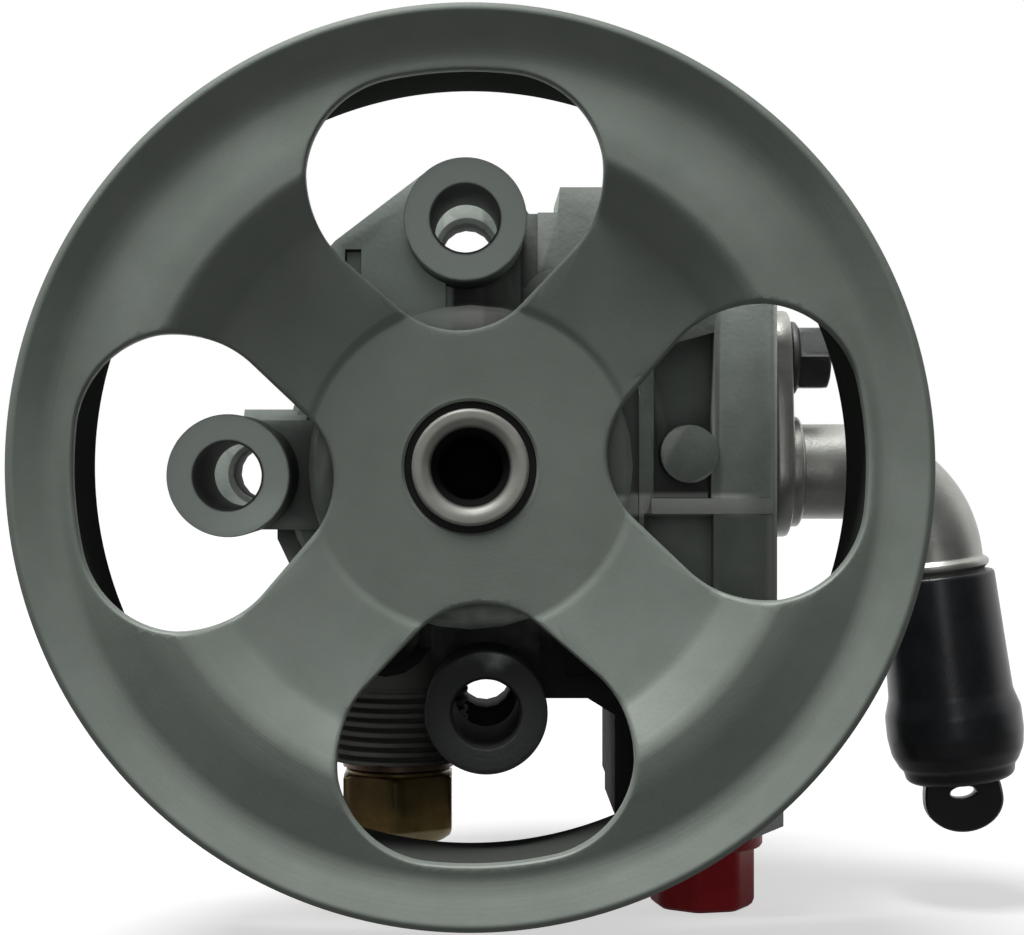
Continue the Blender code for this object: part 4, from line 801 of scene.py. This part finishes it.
bolt_look = finish(
    "dark_phosphate", (0.035, 0.038, 0.038), (0.07, 0.075, 0.073), 0.2, (0.40, 0.56),
    0.003, 0.0003, 0.00002, (0.30, 0.30, 0.29), 0.6,
)
cover_bolt_ring = 29.8
bolt("inlet_bolt_head", "inlet_bolt", "X", (34.0, 18.3), 53.5, 39.0)
for k, degrees in enumerate((62, 140, 242, 320), 1):
    turn = math.radians(degrees)
    centre = (cover_bolt_ring * math.cos(turn), cover_bolt_ring * math.sin(turn))
    bolt("cover_bolt_head_" + str(k), "cover_bolt_" + str(k), "Y", centre, 68.3, 45.0)


# Rubber cap: moulded black sleeve that grips the tube's end, bulged at its foot, with a pull tab.
# Matt skin with faint mould grain; the round mark on it is left bare.
def tab_ring(grow, hole, side, a):
    """Ring leg_start + w way + u side + y: the tab's hole u = 2.2 h cos a, w = 40.2 + h sin a, or
    its rim u = 6.6 g cos a, w = 41.6 + 5.6 sin a, squarer where it meets the sleeve."""
    half_width, hole_w, rim_w = 6.6, 40.2, 41.6
    c, s = np.cos(a), np.sin(a)
    if hole:
        u, w = 2.2 * hole * c, hole_w + hole * s
    else:
        w = rim_w + np.where(s > 0, 5.3 * grow, 5.6) * s
        squared = np.sign(c) * np.abs(c) ** 0.35
        u = half_width * grow * np.where(s < 0, squared, c)
    flat = np.outer(w, leg_way) + np.outer(u, leg_side)
    return leg_start + flat + side * along_y


sleeve = rounded([
    (8.3, 27.0), (8.3, 3.6), (8.6, 3.2), (9.3, 3.2), (9.6, 3.7), (10.1, 17.2), (10.35, 23.4),
    (11.3, 26.4), (11.35, 30.0), (10.95, 33.0), (9.9, 35.2), (9.3, 35.8), (9.0, 37.4),
    (7.9, 38.1), (0.0, 38.3),
], 0.6)
tab_rings = (
    (0.0, 1.0, -1.05), (0.0, 1.12, -1.5), (0.94, 0.0, -1.5), (1.0, 0.0, -1.1),
    (1.0, 0.0, 1.1), (0.94, 0.0, 1.5), (0.0, 1.12, 1.5), (0.0, 1.0, 1.05),
)
points, faces = revolved(sleeve, 96, down_leg, False)
turn = np.linspace(0.0, 2 * np.pi, 48, endpoint=False)
faces += quads(len(tab_rings), len(turn), True, len(points))
points = np.concatenate([points] + [tab_ring(*ring, turn) for ring in tab_rings])
cap = body_from("rubber_cap", points, faces, 40.0)
cap.data.materials.append(finish(
    "black_rubber", (0.010, 0.011, 0.013), (0.020, 0.022, 0.026), 0.0, (0.26, 0.38),
    0.005, 0.0004, 0.00002, (0.05, 0.05, 0.055), 0.5,
))
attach(cap, "cap")
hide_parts("inlet_cap")

# Red plug: moulded plastic stopper in the outlet union, flanged, with an eight-sided grip.
# Its plastic is satin and opaque, with soft edges.
levels = [
    (0.0, -52.4, 0), (5.2, -52.4, 0), (5.8, -53.8, 0), (5.8, -61.1, 0), (10.0, -61.1, 0),
    (10.2, -61.4, 0), (10.2, -63.2, 0), (9.9, -63.6, 0), (8.9, -63.7, 0), (8.75, -64.0, 1),
    (8.8, -64.4, 1), (8.8, -72.6, 1), (8.5, -73.3, 1), (7.9, -73.8, 1), (7.4, -73.9, 1),
    (0.0, -73.9, 0),
]
points, faces = faceted(
    levels, 96, about("Z", (38.9, 34.0)), 8.35, 8, math.radians(12), full_r=8.8,
)
plug = body_from("red_plug", points, faces, 24.0)
plug.data.materials.append(finish(
    "red_plastic", (0.62, 0.010, 0.020), (0.76, 0.018, 0.032), 0.0, (0.32, 0.44),
    0.004, 0.0005, 0.00001, (0.5, 0.10, 0.11), 0.4,
))
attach(plug, "plug")
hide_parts("outlet_plug")

# Yellow plug: zinc-plated hexagon head with a turned chamfer below, a washer and a thread above.
# Yellow passivation drifts from gold to brown; painted shade as on the casting darkens its upper
# part, and a painted highlight lies on the lower chamfer.
levels = [
    (0.0, -38.6, 0), (6.3, -38.6, 0), (6.8, -39.2, 0), (6.8, -50.6, 0), (8.5, -50.6, 0),
    (8.8, -50.8, 0), (8.8, -51.2, 0), (9.7, -51.5, 1), (10.39, -51.9, 1), (10.39, -60.0, 1),
    (9.7, -60.9, 1), (8.8, -61.9, 1), (7.9, -62.5, 1), (0.0, -62.5, 0),
]
points, faces = faceted(levels, 96, boss_place, 9.0, 6)
gold = body_from("yellow_plug", points, faces)
gold_look = finish(
    "yellow_zinc", (0.34, 0.21, 0.05), (0.56, 0.40, 0.13), 0.6, (0.22, 0.36),
    0.004, 0.0004, 0.00002, (0.72, 0.60, 0.34), 0.5,
)
# Painted shade over the plug's upper part, under the casting.
painted_shade(gold_look, -0.066, -0.054, (0.05, 0.035, 0.018), 0.75)
# Painted highlight: a pale gold band on the lower chamfer.
overlay(gold_look, (0.95, 0.82, 0.50), zone(gold_look, "Z", -0.0640, -0.0603, 0.0002), 0.85)
gold.data.materials.append(gold_look)
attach(gold, "casing")
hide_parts("gallery_plug")

# Valve spring: a coil of ground spring steel between the spool and the foot of its bore.
# The real spring is squashed as the spool slides up; here it is one fixed coil that replaces the
# rigid spring of the frame.
ground = finish(
    "ground_steel", (0.44, 0.45, 0.45), (0.54, 0.55, 0.55), 0.95, (0.22, 0.34),
    0.005, 0.0002, 0.000008, (0.7, 0.7, 0.7), 0.4,
)


def wound(u, v):
    """Helix (r cos t + x, r sin t + y, z + h u + w sin v) with t = 11 pi u and r = R + w cos v."""
    coil_r, wire_r, x, y, foot, height = 5.9, 0.75, 38.9, 34.0, -10.95, 20.9
    t = 11 * np.pi * u
    r = coil_r + wire_r * np.cos(v)
    z = foot + height * u + wire_r * np.sin(v)
    return np.stack([r * np.cos(t) + x, r * np.sin(t) + y, z], axis=-1).reshape(-1, 3)


stations, around = 221, 16
faces = quads(stations, around)
faces += [range(around), range((stations - 1) * around, stations * around)]
u, v = np.meshgrid(
    np.linspace(0.0, 1.0, stations), np.linspace(0.0, 2 * np.pi, around, endpoint=False),
    indexing="ij",
)
spring = body_from("spool_spring", wound(u, v), faces, 40.0)
spring.data.materials.append(ground)
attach(spring, "casing")
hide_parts("valve_spring")
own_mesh(spring)

# Inner and small parts: the CAD solids stay, shaded smooth, each in its metal's or rubber's finish.
# Ground steel for races, plates, cam and spool; sintered rotor; bronze bush; rubber seals; zinc-
# plated union; copper washer darkened as painted shade; a near-black hub.
sintered = finish(
    "sintered_iron", (0.12, 0.12, 0.12), (0.19, 0.19, 0.185), 0.8, (0.45, 0.6),
    0.003, 0.0003, 0.00003,
)
bronze = finish(
    "bronze_lining", (0.36, 0.24, 0.11), (0.46, 0.32, 0.15), 0.9, (0.3, 0.42),
    0.003, 0.0002, 0.00001,
)
rubber = finish(
    "seal_rubber", (0.012, 0.012, 0.013), (0.025, 0.025, 0.027), 0.0, (0.4, 0.55),
    0.003, 0.0003, 0.00001,
)
# Near-black finish for the hub.
near_black = finish(
    "near_black_steel", (0.015, 0.015, 0.014), (0.03, 0.03, 0.028), 0.0, (0.5, 0.7),
    0.004, 0.0003, 0.00001,
)
zinced = finish(
    "union_zinc", (0.13, 0.135, 0.13), (0.20, 0.205, 0.195), 0.5, (0.42, 0.55),
    0.003, 0.0003, 0.00002,
)
# Painted shade: the copper washer is laid dark.
copper = finish(
    "shaded_copper_washer", (0.10, 0.06, 0.04), (0.17, 0.10, 0.07), 0.6, (0.3, 0.45),
    0.002, 0.0002, 0.00001,
)
looks = {
    "pulley_hub": near_black, "rotor": sintered, "shaft_bush": bronze, "gallery_washer": copper,
    "shaft_seal": rubber, "cover_o_ring": rubber, "plate_o_ring": rubber,
    "inlet_o_ring": rubber, "union_o_ring": rubber, "outlet_union": zinced,
}
castings = ("front_housing", "rear_cover")
for node, solid in list(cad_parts.items()):
    if not solid.hide_render and node not in castings:
        body = soften(node)
        body.data.materials.clear()
        body.data.materials.append(looks.get(node, ground))
